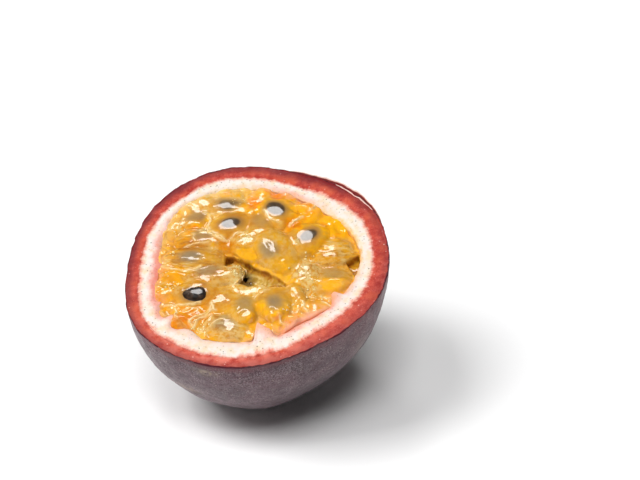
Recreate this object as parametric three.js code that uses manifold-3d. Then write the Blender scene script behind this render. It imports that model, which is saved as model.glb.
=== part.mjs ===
// Half a passion fruit, cut across and lying on its round side with the cut face up.
// Millimetres, +Z up. The origin is under the middle of the part, on the surface it rests on.
// The fruit is built in the frame of its cut face, where Z = 0 is the cut and the body hangs
// below it, and one group then leans that frame as the half lies.
import * as THREE from "three";
import { mergeVertices } from "three/addons/utils/BufferGeometryUtils.js";
import Module from "manifold-3d";

// Driving dimensions of the fruit
const CUT_RADIUS = 28; // mean radius of the skin at the cut face
const BODY_DEPTH = 33.8; // cut face to blossom end
const MERIDIAN_POWER = 1.88; // 2 is an ellipse, less is leaner towards the end
const BLOSSOM_SHIFT = new THREE.Vector2(-1.33, -2); // the blossom end lies off the middle
const LOBE_FADE = 0.7; // how soon the three lobes of the cut die out below it
const RED_LAYER = 3.19; // skin and red flesh together
const WHITE_LAYER = 3.43; // white pith
const LAYER_GAP = 0.3; // clear space between neighbouring layers

// How the half lies
const LEAN_TO_FRONT = 14.6; // degrees
const LEAN_TO_LEFT = 5.26; // degrees
const FLAT_DEPTH = 0.7; // how much of the round side is pressed flat

// Pulp: juice sacs in a ring of juice round an open middle
const JUICE_LEVEL = -2.1; // below the cut face at the wall
const JUICE_CROWN = 0.9; // how much higher the juice stands in the middle
const SAC_THICKNESS = 0.85; // of a sac's width
const SAC_POINT = 0.28; // how much a sac narrows towards its stalk
const SAC_HEADROOM = 3; // the most that a sac could stand above the cut face

// Stalks that hold the sacs: short white teeth in three groups on the wall of the cavity
const STALK_GROUPS = 3;
const FIRST_GROUP = 57; // degrees round the cut, midway between two lobes
const STALK_SPREAD = [-24, -9, 10, 27]; // degrees from the middle of a group
const STALK_LENGTHS = [3.4, 2.6, 2.2, 2.8];
const STALK_DEPTH = 1.5; // below the cut face
const STALK_BASE = 1.1; // radius at the wall
const STALK_TIP = 0.4;
const STALK_ROOT = 1; // how far a stalk is sunk in the pith

// Fineness of the faces
const AROUND = 56;
const DOWN = 8;
const ACROSS = 2;
const SAC_SIDES = 10;
const SAC_RINGS = 6;
const STALK_SIDES = 5;
const MERGE_DISTANCE = 1e-4; // points closer than this are one

// The outlines of the cut: how far each stands out from a circle, as waves in millimetres
const skinWaves = [
  { lobes: 3, height: 0.87, peak: -2.6 },
  { lobes: 4, height: 0.3, peak: 32.7 },
  { lobes: 5, height: 0.15, peak: -24 },
  { lobes: 6, height: 0.21, peak: -27.5 },
];
const redWaves = [
  { lobes: 1, height: 0.62, peak: -144 },
  { lobes: 3, height: 0.97, peak: -0.4 },
  { lobes: 4, height: 0.32, peak: 25 },
  { lobes: 6, height: 0.26, peak: -27 },
];
const whiteWaves = [
  { lobes: 1, height: 0.39, peak: -171 },
  { lobes: 2, height: 0.28, peak: -42 },
  { lobes: 3, height: 1.13, peak: -3 },
  { lobes: 4, height: 0.3, peak: 35 },
  { lobes: 5, height: 0.42, peak: 1 },
];

// The juice sacs that show at the cut: where each lies on it, the way it points in degrees,
// its length and width, and how far its top stands above the cut face
const sacs = [
  { x: 4.8, y: 14.1, turn: -46, length: 9.6, width: 6.6, top: 0.7 },
  { x: -6.7, y: 16.6, turn: -9, length: 9.6, width: 5.8, top: 0.4 },
  { x: -5.6, y: 10.6, turn: 9, length: 8.4, width: 6.4, top: 1.1 },
  { x: 11.4, y: 6, turn: 35, length: 9.4, width: 7.4, top: 0.9 },
  { x: 4.9, y: 2.8, turn: -59, length: 11.6, width: 7.4, top: 1.2 },
  { x: -12, y: -7.8, turn: -5, length: 9.4, width: 6, top: 1 },
  { x: -13, y: 2.2, turn: -9, length: 11.6, width: 5.4, top: 0.9 },
  { x: -13, y: 13.4, turn: 30, length: 8, width: 6.4, top: 0.2 },
  { x: 0.8, y: 10.8, turn: -80, length: 8.6, width: 5, top: 0.5 },
  { x: -11.6, y: 7.4, turn: 2, length: 10.2, width: 5.4, top: 0.6 },
  { x: -1.6, y: 6, turn: 20, length: 6.4, width: 5.6, top: 0.6 },
  { x: -9.4, y: -2.9, turn: -5, length: 12.4, width: 5.6, top: 0.7 },
  { x: -1.9, y: -13, turn: -86, length: 8.6, width: 5.8, top: 1.2 },
  { x: 4.4, y: -11.6, turn: -78, length: 9.2, width: 6.6, top: 0.9 },
  { x: -5.6, y: -17.2, turn: -14, length: 9.6, width: 6.4, top: 0.6 },
  { x: 16.8, y: 1.6, turn: 2, length: 8.2, width: 6.8, top: -0.2 },
  { x: 16.2, y: -5.6, turn: -25, length: 8.8, width: 7.2, top: -0.3 },
  { x: 11.4, y: -4.3, turn: -67, length: 8.6, width: 5.4, top: -0.1 },
  { x: 16.4, y: 8.6, turn: -62, length: 9, width: 5.8, top: -0.2 },
  { x: 11, y: 13.4, turn: 50, length: 8, width: 5.8, top: 0 },
  { x: -16.6, y: -2.8, turn: -39, length: 7, width: 5.4, top: 0.1 },
  { x: -13.6, y: -13.6, turn: -42, length: 8.2, width: 5.4, top: 0.2 },
  { x: -6.6, y: -9.6, turn: -20, length: 8, width: 6, top: 0.5 },
  { x: 9.6, y: -12.6, turn: -30, length: 7.4, width: 5, top: -0.2 },
];

// The open middle: hollows that run into one another, with the depth that each reaches
const hollows = [
  { x: -2.9, y: 0.6, turn: -18, length: 8.4, width: 3.8, depth: 5.5 },
  { x: 1.4, y: -2.9, turn: -36, length: 11.6, width: 7, depth: 10.5 },
  { x: -0.6, y: -5.6, turn: 70, length: 6.4, width: 5.2, depth: 10 },
  { x: 5.4, y: -5.3, turn: -40, length: 5.6, width: 3.8, depth: 7 },
];
const HOLLOW_TOP = 3; // the hollows are cut from this far above the cut face

const finishes = {
  rind: { color: 0x6b4c55, roughness: 0.55, metalness: 0 },
  pith: { color: 0xfbe7d6, roughness: 0.7, metalness: 0 },
  pulp: { color: 0xeda22d, roughness: 0.2, metalness: 0 },
};

const wasm = await Module();
wasm.setup();

const radians = THREE.MathUtils.degToRad;

function outline(radius, waves, angle) {
  let out = radius;
  for (const wave of waves) {
    out += wave.height * Math.cos(wave.lobes * (angle - radians(wave.peak)));
  }
  return out;
}

// A closed border of the body: its outline at the cut face, and how deep it goes
function makeBorder(inset, waves, grown) {
  return { radius: CUT_RADIUS - inset + grown, waves, depth: BODY_DEPTH - inset + grown };
}

// A point of a border: angle round the cut, and slope from 0 at the cut to a right angle at the end
function borderPoint(border, angle, slope) {
  const across = Math.pow(Math.cos(slope), 2 / MERIDIAN_POWER);
  const down = Math.pow(Math.sin(slope), 2 / MERIDIAN_POWER);
  const lobes = outline(0, border.waves, angle) * Math.pow(Math.cos(slope), LOBE_FADE);
  const reach = (border.radius + lobes) * across;
  return new THREE.Vector3(
    reach * Math.cos(angle) + BLOSSOM_SHIFT.x * down,
    reach * Math.sin(angle) + BLOSSOM_SHIFT.y * down,
    -border.depth * down,
  );
}

function ringOf(count, pointAt) {
  return Array.from({ length: count }, (_, i) => pointAt((2 * Math.PI * i) / count));
}

// The rings of a border from just above the blossom end up to the cut face
function borderRings(border) {
  const rings = [];
  for (let i = DOWN - 1; i >= 0; i--) {
    const slope = (Math.PI / 2) * (i / DOWN);
    rings.push(ringOf(AROUND, (angle) => borderPoint(border, angle, slope)));
  }
  return rings;
}

function blossomEnd(border) {
  return new THREE.Vector3(BLOSSOM_SHIFT.x, BLOSSOM_SHIFT.y, -border.depth);
}

// A closed skin over a stack of rings, with one point below the first and one after the last
function skinOver(first, rings, last) {
  const points = [first, ...rings.flat(), last];
  const count = rings[0].length;
  const faces = [];
  const at = (ring, i) => 1 + ring * count + (i % count);
  for (let i = 0; i < count; i++) {
    faces.push(0, at(0, i + 1), at(0, i));
    for (let ring = 0; ring + 1 < rings.length; ring++) {
      faces.push(at(ring, i), at(ring, i + 1), at(ring + 1, i + 1));
      faces.push(at(ring, i), at(ring + 1, i + 1), at(ring + 1, i));
    }
    faces.push(at(rings.length - 1, i), at(rings.length - 1, i + 1), points.length - 1);
  }
  const geometry = new THREE.BufferGeometry().setFromPoints(points);
  geometry.setIndex(faces);
  return geometry;
}

// three.js geometry to a manifold-3d solid, and back
function solidFrom(geometry) {
  const bare = geometry.clone();
  bare.deleteAttribute("normal");
  bare.deleteAttribute("uv");
  const merged = mergeVertices(bare, MERGE_DISTANCE);
  return new wasm.Manifold(
    new wasm.Mesh({
      numProp: 3,
      vertProperties: merged.attributes.position.array,
      triVerts: new Uint32Array(merged.index.array),
    }),
  );
}

function geometryFrom(solid) {
  const mesh = solid.getMesh();
  const geometry = new THREE.BufferGeometry();
  geometry.setAttribute("position", new THREE.BufferAttribute(mesh.vertProperties, 3));
  geometry.setIndex(new THREE.BufferAttribute(mesh.triVerts, 1));
  const flat = geometry.toNonIndexed();
  flat.computeVertexNormals();
  return flat;
}

// A layer of the wall: a bowl between two borders, open at the cut face
function bowl(outer, inner) {
  const rings = [...borderRings(outer), ...borderRings(inner).reverse()];
  return solidFrom(skinOver(blossomEnd(outer), rings, blossomEnd(inner)));
}

// A filling inside a border, up to a height above the cut face that depends on where it is
function filling(border, heightAt) {
  const rings = borderRings(border);
  const rim = rings.pop();
  for (let i = ACROSS; i > 0; i--) {
    const share = i / ACROSS;
    rings.push(rim.map((p) => new THREE.Vector3(p.x * share, p.y * share, heightAt(share))));
  }
  return solidFrom(skinOver(blossomEnd(border), rings, new THREE.Vector3(0, 0, heightAt(0))));
}

// A plump drop lying along the cut, narrowed at the end that points to the wall
function sac({ x, y, turn, length, width, top }) {
  const geometry = new THREE.SphereGeometry(1, SAC_SIDES, SAC_RINGS);
  const position = geometry.attributes.position;
  const thick = width * SAC_THICKNESS;
  for (let i = 0; i < position.count; i++) {
    const along = position.getX(i);
    const narrow = 1 - SAC_POINT * Math.max(0, along);
    position.setXYZ(
      i,
      (along * length) / 2,
      (position.getY(i) * narrow * width) / 2,
      (position.getZ(i) * narrow * thick) / 2,
    );
  }
  const facing = Math.cos(radians(turn)) * x + Math.sin(radians(turn)) * y;
  geometry.rotateZ(radians(facing > 0 ? turn : turn + 180));
  geometry.translate(x, y, top - thick / 2);
  return solidFrom(geometry);
}

// A pocket of the open middle: the lower part of an egg that reaches its depth below the cut face
function hollow({ x, y, turn, length, width, depth }) {
  const geometry = new THREE.SphereGeometry(1, SAC_SIDES, SAC_RINGS);
  geometry.scale(length / 2, width / 2, depth + HOLLOW_TOP);
  geometry.rotateZ(radians(turn));
  geometry.translate(x, y, HOLLOW_TOP);
  return solidFrom(geometry);
}

// The stalks on the wall of a cavity, each grown by a margin, as one solid
function stalks(cavity, margin) {
  const parts = [];
  for (let group = 0; group < STALK_GROUPS; group++) {
    STALK_SPREAD.forEach((spread, i) => {
      const angle = radians(FIRST_GROUP + (360 / STALK_GROUPS) * group + spread);
      const foot = borderPoint(cavity, angle, 0);
      const length = STALK_LENGTHS[i] + STALK_ROOT + margin;
      const tip = STALK_TIP + margin;
      const base = STALK_BASE + margin;
      const cone = new THREE.CylinderGeometry(tip, base, length, STALK_SIDES);
      cone.translate(0, length / 2 - STALK_ROOT, 0);
      cone.rotateZ(angle + Math.PI / 2);
      cone.translate(foot.x, foot.y, -STALK_DEPTH);
      parts.push(solidFrom(cone));
    });
  }
  return wasm.Manifold.union(parts);
}

function makeRind(place) {
  const outside = makeBorder(0, skinWaves, 0);
  const inside = makeBorder(RED_LAYER, redWaves, LAYER_GAP / 2);
  const whole = bowl(outside, inside);
  return whole.subtract(groundUnder(whole, place));
}

// What lies below the flat spot: a block under the leaning body, in the frame of the cut face
function groundUnder(body, place) {
  const leaning = geometryFrom(body).applyMatrix4(place);
  leaning.computeBoundingBox();
  const side = 4 * CUT_RADIUS;
  const block = new THREE.BoxGeometry(side, side, side);
  block.translate(0, 0, leaning.boundingBox.min.z + FLAT_DEPTH - side / 2);
  block.applyMatrix4(place.clone().invert());
  return solidFrom(block);
}

function makePith() {
  const outside = makeBorder(RED_LAYER, redWaves, -LAYER_GAP / 2);
  const inside = makeBorder(RED_LAYER + WHITE_LAYER, whiteWaves, LAYER_GAP / 2);
  return bowl(outside, inside).add(stalks(inside, 0));
}

function makePulp() {
  const wall = makeBorder(RED_LAYER + WHITE_LAYER, whiteWaves, LAYER_GAP / 2);
  const outside = makeBorder(RED_LAYER + WHITE_LAYER, whiteWaves, -LAYER_GAP / 2);
  const juice = filling(outside, (share) => JUICE_LEVEL + JUICE_CROWN * (1 - share * share));
  const room = filling(outside, () => SAC_HEADROOM);
  return juice
    .add(wasm.Manifold.union(sacs.map(sac)))
    .intersect(room)
    .subtract(wasm.Manifold.union(hollows.map(hollow)))
    .subtract(stalks(wall, LAYER_GAP));
}

function makeMesh(name, solid) {
  const material = new THREE.MeshStandardMaterial(finishes[name]);
  const mesh = new THREE.Mesh(geometryFrom(solid), material);
  mesh.name = name;
  return mesh;
}

const fruit = new THREE.Group();
fruit.rotation.set(radians(LEAN_TO_FRONT), radians(-LEAN_TO_LEFT), 0);
fruit.updateMatrix();
fruit.add(makeMesh("rind", makeRind(fruit.matrix)));
fruit.add(makeMesh("pith", makePith()));
fruit.add(makeMesh("pulp", makePulp()));

const half = new THREE.Group();
half.add(fruit);
const box = new THREE.Box3().setFromObject(half, true);
const middle = box.getCenter(new THREE.Vector3());
fruit.position.set(-middle.x, -middle.y, -box.min.z);

export default half;
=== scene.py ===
import math

import bpy
import numpy as np
from mathutils import Matrix, Vector, noise
from mathutils.kdtree import KDTree


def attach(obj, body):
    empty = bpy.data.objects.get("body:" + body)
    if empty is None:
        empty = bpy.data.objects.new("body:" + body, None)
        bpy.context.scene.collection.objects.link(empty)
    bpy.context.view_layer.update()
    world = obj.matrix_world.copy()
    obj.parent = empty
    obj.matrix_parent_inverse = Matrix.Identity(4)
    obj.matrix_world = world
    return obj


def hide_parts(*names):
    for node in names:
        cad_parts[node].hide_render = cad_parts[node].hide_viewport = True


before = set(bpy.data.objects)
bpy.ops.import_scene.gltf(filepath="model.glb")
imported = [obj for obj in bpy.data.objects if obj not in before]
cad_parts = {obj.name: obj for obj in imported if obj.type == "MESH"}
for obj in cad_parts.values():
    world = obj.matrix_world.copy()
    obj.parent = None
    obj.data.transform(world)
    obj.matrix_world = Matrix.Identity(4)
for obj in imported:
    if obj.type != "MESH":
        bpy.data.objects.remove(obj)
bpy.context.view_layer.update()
print("frame loaded:", sorted(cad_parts))

# how the half lies; millimetres and degrees, the same as in the CAD source
half = {
    "cutCentre": (-0.732, -0.450, 33.135),   # middle of the cut face in the row frame
    "leanFront": 14.6,
    "leanLeft": 5.26,
    "cutRadius": 28.0,
    "bodyDepth": 33.8,
    "meridianPower": 1.88,                   # 2 is an ellipse, less is leaner at the end
    "blossomShift": (-1.33, -2.0),
    "lobeFade": 0.7,
    "redLayer": 3.19,
    "whiteLayer": 3.43,
}
cavityInset = half["redLayer"] + half["whiteLayer"]
cavityRadius = half["cutRadius"] - cavityInset

# waves round each outline of the cut: lobes, height, where it peaks
skinWaves = [(3, 0.87, -2.6), (4, 0.30, 32.7), (5, 0.15, -24), (6, 0.21, -27.5)]
redWaves = [(1, 0.62, -144), (3, 0.97, -0.4), (4, 0.32, 25), (6, 0.26, -27)]
whiteWaves = [(1, 0.39, -171), (2, 0.28, -42), (3, 1.13, -3), (4, 0.30, 35), (5, 0.42, 1)]

leanTurn = Matrix.Rotation(math.radians(half["leanFront"]), 3, "X") @ Matrix.Rotation(
    math.radians(-half["leanLeft"]), 3, "Y")
leanArray = np.array(leanTurn)
cutCentre = np.array(half["cutCentre"])


def toRow(points):
    return (points @ leanArray.T + cutCentre) * 0.001   # cut frame in mm to row frame in m


def fromRow(points):
    return (points * 1000 - cutCentre) @ leanArray


# camera: 100 mm lens, 33 degrees above the floor
view = {"lens": 100, "elevation": 33, "fromCut": (13.879, -309.147, 206.170)}
cameraData = bpy.data.cameras.new("camera")
cameraData.lens = view["lens"]
camera = bpy.data.objects.new("camera", cameraData)
camera.location = Vector((cutCentre + np.array(view["fromCut"])) * 0.001)
camera.rotation_euler = (math.radians(90 - view["elevation"]), 0, 0)
bpy.context.collection.objects.link(camera)
bpy.context.scene.camera = camera
print("camera placed")


# small helpers
def smoothStep(low, high, x):
    t = np.clip((x - low) / (high - low), 0, 1)
    return t * t * (3 - 2 * t)


def grain(points, size, seed=0.0, octaves=1):
    # smooth noise about 0, one wave about as long as size
    shift = Vector((seed * 7.31, seed * 3.17, seed * 5.73))
    if octaves == 1:
        return np.array([noise.noise(Vector(p) / size + shift) for p in points])
    return np.array([noise.fractal(Vector(p) / size + shift, 0.9, 2.1, octaves) for p in points])


def hump(x, y, px, py, reach):
    # 1 at a place on the cut, falling off round it
    return np.exp(-((x - px) ** 2 + (y - py) ** 2) / reach ** 2)


def ringHump(angle, middle, spread, strength):
    # strongest at one angle round the cut
    off = (np.degrees(angle) - middle + 180) % 360 - 180
    return strength * np.exp(-(off / spread) ** 2)


def ringShade(points, *humps):
    angle = np.arctan2(points[:, 1], points[:, 0])
    return sum(ringHump(angle, *each) for each in humps)


def outline(radius, waves, angle):
    out = np.full_like(angle, radius)
    for lobes, height, peak in waves:
        out = out + height * np.cos(lobes * (angle - math.radians(peak)))
    return out


def borderPoints(inset, waves, angle, slope):
    # a border of the body at an angle round the cut; slope is 0 at the cut, 90 degrees at the end
    power = 2 / half["meridianPower"]
    across, down = np.cos(slope) ** power, np.sin(slope) ** power
    lobes = outline(0.0, waves, angle) * np.cos(slope) ** half["lobeFade"]
    reach = (half["cutRadius"] - inset + lobes) * across
    return np.stack([
        reach * np.cos(angle) + half["blossomShift"][0] * down,
        reach * np.sin(angle) + half["blossomShift"][1] * down,
        -(half["bodyDepth"] - inset) * down + 0 * angle], -1)


def borderEnd(inset, waves):
    return borderPoints(inset, waves, np.zeros(1), math.pi / 2)


def stackFaces(rings, around):
    # faces over rings of points, closed by one point before the first ring and one after the last
    i = np.arange(around)
    j = (i + 1) % around
    faces = [(0, 1 + b, 1 + a) for a, b in zip(i, j)]
    for ring in range(rings - 1):
        low, high = 1 + ring * around, 1 + (ring + 1) * around
        faces += [(low + a, low + b, high + b, high + a) for a, b in zip(i, j)]
    low, last = 1 + (rings - 1) * around, 1 + rings * around
    faces += [(low + a, low + b, last) for a, b in zip(i, j)]
    return faces


def joinTubes(tubes, sides):
    # closes each row of rings with a point at both ends and joins them
    bodies, faces = [], []
    for rings in tubes:
        base = sum(len(body) for body in bodies)
        bodies.append(np.concatenate([rings[0].mean(0)[None], *rings, rings[-1].mean(0)[None]]))
        faces += [tuple(base + i for i in face) for face in stackFaces(len(rings), sides)]
    return np.concatenate(bodies), faces


def joinBodies(bodies, bodyFaces):
    count = len(bodies[0])
    faces = [tuple(n * count + i for i in face) for n in range(len(bodies)) for face in bodyFaces]
    return np.concatenate(bodies), faces


def ballPoints(rings, around):
    theta = np.linspace(0, math.pi, rings + 1)[1:-1]
    phi = np.linspace(0, 2 * math.pi, around, endpoint=False)
    t, p = np.meshgrid(theta, phi, indexing="ij")
    body = np.stack([np.cos(t), np.sin(t) * np.cos(p), np.sin(t) * np.sin(p)], -1).reshape(-1, 3)
    return np.concatenate([[[1.0, 0, 0]], body, [[-1.0, 0, 0]]]), stackFaces(rings - 1, around)


def makeMesh(name, points, faces, finishes, faceFinish=None, fields=None, vectors=None):
    # points in the cut frame, mm
    mesh = bpy.data.meshes.new(name)
    mesh.from_pydata(toRow(points).tolist(), [], faces)
    mesh.polygons.foreach_set("use_smooth", [True] * len(mesh.polygons))
    for finish in finishes:
        mesh.materials.append(finish)
    if faceFinish is not None:
        mesh.polygons.foreach_set("material_index", faceFinish)
    for field, values in (fields or {}).items():
        mesh.attributes.new(field, "FLOAT", "POINT").data.foreach_set(
            "value", np.asarray(values, np.float32))
    for field, values in (vectors or {}).items():
        mesh.attributes.new(field, "FLOAT_VECTOR", "POINT").data.foreach_set(
            "vector", np.asarray(values, np.float32).ravel())
    mesh.update()
    piece = bpy.data.objects.new(name, mesh)
    bpy.context.collection.objects.link(piece)
    return piece


def hold(piece, slot, *nodes):
    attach(piece, "root")
    if nodes:
        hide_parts(*nodes)
    print("piece made:", piece.name, len(piece.data.vertices), "points")
    return piece


# node helpers
def colour(code):
    parts = [int(code[i:i + 2], 16) / 255 for i in (1, 3, 5)]
    return tuple(c / 12.92 if c <= 0.04045 else ((c + 0.055) / 1.055) ** 2.4 for c in parts) + (1,)


class Finish:
    # a material being made: each call adds a node and gives back its output; tints go by their names
    def __init__(self, name, **tints):
        self.material = bpy.data.materials.new(name)
        self.material.use_nodes = True
        self.tree = self.material.node_tree
        self.shader = self.tree.nodes["Principled BSDF"]
        self.tints = {key: colour(code) for key, code in tints.items()}
        self.base = None                     # the colour painted so far
        coordinates = self.tree.nodes.new("ShaderNodeTexCoord")
        self.place = self.scaled(coordinates.outputs["Object"], (1000, 1000, 1000))   # mm

    def link(self, source, socket):
        if isinstance(source, str):
            source = self.tints[source]
        if isinstance(source, bpy.types.NodeSocket):
            self.tree.links.new(source, socket)
        else:
            socket.default_value = source

    def scaled(self, source, by):
        node = self.tree.nodes.new("ShaderNodeMapping")
        self.link(source, node.inputs["Vector"])
        node.inputs["Scale"].default_value = by
        return node.outputs[0]

    def field(self, name, kind="Fac"):
        node = self.tree.nodes.new("ShaderNodeAttribute")
        node.attribute_name = name
        return node.outputs[kind]

    def noise(self, size, detail=2.0, source=None, rough=0.5, warp=0.0):
        node = self.tree.nodes.new("ShaderNodeTexNoise")
        self.link(source or self.place, node.inputs["Vector"])
        node.inputs["Scale"].default_value = 1 / size
        node.inputs["Detail"].default_value = detail
        node.inputs["Roughness"].default_value = rough
        node.inputs["Distortion"].default_value = warp
        return node.outputs["Fac"]

    def cells(self, size):
        node = self.tree.nodes.new("ShaderNodeTexVoronoi")
        self.link(self.place, node.inputs["Vector"])
        node.inputs["Scale"].default_value = 1 / size
        return node.outputs["Distance"]

    def math(self, operation, a, b, clamp=False):
        node = self.tree.nodes.new("ShaderNodeMath")
        node.operation = operation
        node.use_clamp = clamp
        self.link(a, node.inputs[0])
        self.link(b, node.inputs[1])
        return node.outputs[0]

    def times(self, out, *others):
        for other in others:
            out = self.math("MULTIPLY", out, other)
        return out

    def plus(self, out, *others):
        for other in others:
            out = self.math("ADD", out, other)
        return out

    def sway(self, size, detail, **how):
        # noise about 0
        return self.plus(self.noise(size, detail, **how), -0.5)

    def step(self, value, low, high, out=(0.0, 1.0)):
        node = self.tree.nodes.new("ShaderNodeMapRange")
        node.interpolation_type = "SMOOTHSTEP"
        self.link(value, node.inputs["Value"])
        for socket, number in zip(("From Min", "From Max", "To Min", "To Max"), (low, high) + out):
            node.inputs[socket].default_value = number
        return node.outputs[0]

    def patches(self, size, detail, low, high, out=(0.0, 1.0), **how):
        return self.step(self.noise(size, detail, **how), low, high, out)

    def mix(self, amount, a, b, blend="MIX"):
        node = self.tree.nodes.new("ShaderNodeMix")
        node.data_type = "RGBA"
        node.blend_type = blend
        self.link(amount, node.inputs[0])
        self.link(a, node.inputs[6])
        self.link(b, node.inputs[7])
        return node.outputs[2]

    def paint(self, amount, tint, blend="MIX"):
        self.base = self.mix(amount, self.base, tint, blend)

    def bump(self, height, distance, strength):
        node = self.tree.nodes.new("ShaderNodeBump")
        self.link(height, node.inputs["Height"])
        node.inputs["Strength"].default_value = strength
        node.inputs["Distance"].default_value = distance * 0.001
        self.link(node.outputs[0], self.shader.inputs["Normal"])

    def set(self, **values):
        names = {"rough": "Roughness", "ior": "IOR", "specular": "Specular IOR Level",
                 "subsurface": "Subsurface Weight", "subsurfaceRadius": "Subsurface Radius",
                 "subsurfaceScale": "Subsurface Scale", "coat": "Coat Weight",
                 "coatRough": "Coat Roughness", "coatIor": "Coat IOR", "sheen": "Sheen Weight",
                 "sheenRough": "Sheen Roughness", "sheenTint": "Sheen Tint"}
        self.link(self.base, self.shader.inputs["Base Color"])
        for key, value in values.items():
            self.link(value, self.shader.inputs[names[key]])
        return self.material


# finishes of the rind
def skinFinish():
    f = Finish("skin", deep="#371b25", mid="#56353f", bloom="#776067", grain="#98868a",
               fleck="#c9b5a8", scar="#988672", litWine="#7f5254", band="#683239", shadowSide="#291922",
               rim="#451e29")
    depth = f.field("depth")                                    # 0 at the cut, 1 at the blossom end
    f.base = "deep"
    f.paint(f.patches(6.5, 4.0, 0.3, 0.72, warp=0.4), "mid")
    powder = f.times(f.step(depth, 0.02, 0.5), f.patches(2.4, 5.0, 0.25, 0.75))
    f.paint(f.times(powder, 0.5), "bloom")
    drifts = f.patches(3.4, 3.0, 0.3, 0.7, (0.25, 0.75))
    f.paint(f.times(f.patches(0.26, 2.0, 0.46, 0.62, rough=0.75), drifts), "grain")
    f.paint(f.times(f.patches(0.46, 2.0, 0.50, 0.38, rough=0.6), 0.9), "deep")   # pores
    specks = f.times(f.step(f.cells(0.8), 0.27, 0.12), f.patches(2.2, 2.0, 0.45, 0.62))
    f.paint(f.times(specks, 0.35), "fleck")
    # painted light: a lighter wine tint near the cut at the right, where more light falls
    f.paint(f.times(f.field("litRight"), f.patches(2.0, 3.0, 0.3, 0.6)), "litWine")
    # painted shade: the front right is darker low down, on the side turned from the light
    f.paint(f.times(f.field("shadowSide"), 0.8), "shadowSide")
    f.paint(f.times(f.field("scar"), f.patches(0.8, 4.0, 0.35, 0.6)), "scar")
    wander = f.plus(depth, f.times(f.noise(2.5, 3.0), 0.05))
    f.paint(f.step(wander, 0.085, 0.035, (0.0, 0.8)), "band")
    f.paint(f.step(depth, 0.020, 0.006, (0.0, 0.85)), "rim")
    f.bump(f.plus(f.noise(1.1, 3.0), f.times(f.step(f.cells(0.7), 0.0, 0.35), 0.35)), 0.12, 0.5)
    return f.set(rough=f.patches(1.6, 3.0, 0.2, 0.8, (0.42, 0.62)), sheen=0.18, sheenRough=0.45,
                 sheenTint=(0.82, 0.76, 0.80, 1), specular=0.4)


def fleshFinish():
    # layer runs 0 at the skin, 1 between red and white, 2 at the cavity's edge, more down its wall
    f = Finish("flesh", edge="#4a1b24", maroon="#701e23", red="#9f2e27", redLight="#bf5040",
               coral="#c75a3c", soft="#d77c6b", fringe="#de9685", glint="#e3bbae", white="#ddd3cb",
               cream="#dcc6a6", blush="#d98678", salmon="#dd9369", speck="#776e5c", stain="#e0a544")
    layer = f.field("layer")
    ring = f.field("ringSpace", "Vector")                       # mm round the cut, mm across it, z
    streaks = f.scaled(ring, (1.0, 0.4, 0.4))
    feather = f.sway(0.6, 3.0, source=streaks, rough=0.6)
    tongues = f.sway(1.5, 2.0, source=streaks)
    drift = f.sway(4.0, 3.0, source=streaks)
    ragged = f.plus(layer, f.times(feather, 0.20), f.times(tongues, 0.42), f.times(drift, 0.5))

    f.base = "red"
    f.paint(f.patches(1.4, 4.0, 0.36, 0.66, rough=0.65), "redLight")
    f.paint(f.patches(0.24, 2.0, 0.58, 0.76, (0.0, 0.5)), "fringe")
    f.paint(f.patches(3.2, 3.0, 0.46, 0.72, (0.0, 0.7)), "coral")
    f.paint(f.times(f.field("soft"), f.patches(1.8, 3.0, 0.3, 0.65)), "soft")
    outer = f.step(f.plus(layer, f.times(drift, 0.7)), 0.78, 0.12)
    f.paint(f.times(outer, f.field("dusk")), "maroon")
    # painted highlights: small pale specks in the red stand for wet glints
    glints = f.times(f.step(f.cells(1.3), 0.17, 0.09), f.patches(1.3, 1.0, 0.5, 0.6))
    f.paint(f.times(glints, 0.5), "glint")
    f.paint(f.step(f.plus(layer, f.times(tongues, 0.25)), 0.12, 0.03), "edge")
    red = f.base

    f.base = "white"
    f.paint(f.patches(1.7, 3.0, 0.40, 0.75), "cream")
    f.paint(f.step(layer, 1.55, 2.05, (0.0, 0.4)), "cream")
    inner = f.plus(layer, f.times(f.noise(1.3, 3.0), 0.7))
    f.paint(f.times(f.field("blush"), f.step(inner, 1.7, 2.2)), "blush")
    f.paint(f.times(f.field("salmon"), f.step(inner, 2.0, 2.4)), "salmon")
    f.paint(f.times(f.step(inner, 2.05, 2.45), f.field("stain")), "stain")
    spots = f.times(f.step(f.cells(0.72), 0.30, 0.14), f.patches(1.3, 2.0, 0.40, 0.56))
    band = f.times(f.step(layer, 1.08, 1.16), f.step(layer, 1.7, 1.25, (0.35, 1.0)))
    f.paint(f.times(spots, band, 0.9), "speck")
    white = f.base

    crumbs = f.plus(f.patches(0.4, 2.0, 0.42, 0.62, rough=0.7), -0.5)
    ragged = f.plus(ragged, f.times(crumbs, 0.05))
    fringe = f.mix(f.step(ragged, 0.98, 1.24), "fringe", white)
    f.base = f.mix(f.step(ragged, 0.88, 1.04), red, fringe)
    f.bump(f.plus(f.noise(0.35, 3.0), f.times(feather, 0.6)), 0.10, 0.55)
    return f.set(rough=f.step(layer, 0.1, 1.1, (0.34, 0.62)), subsurface=0.35,
                 subsurfaceRadius=(1.0, 0.45, 0.3), subsurfaceScale=0.0010, specular=0.35)


def peelFinish():
    f = Finish("peel", side="#993b36", top="#ddbfb4")
    f.base = "side"
    # painted highlight: the pale top of each curl stands for the light line along it
    f.paint(f.step(f.plus(f.field("crestHighlight"), f.times(f.noise(0.9, 3.0), 0.6)), 0.8, 1.05), "top")
    f.bump(f.noise(0.4, 2.0), 0.05, 0.5)
    return f.set(rough=f.patches(0.8, 2.0, 0.3, 0.7, (0.3, 0.5)))


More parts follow.
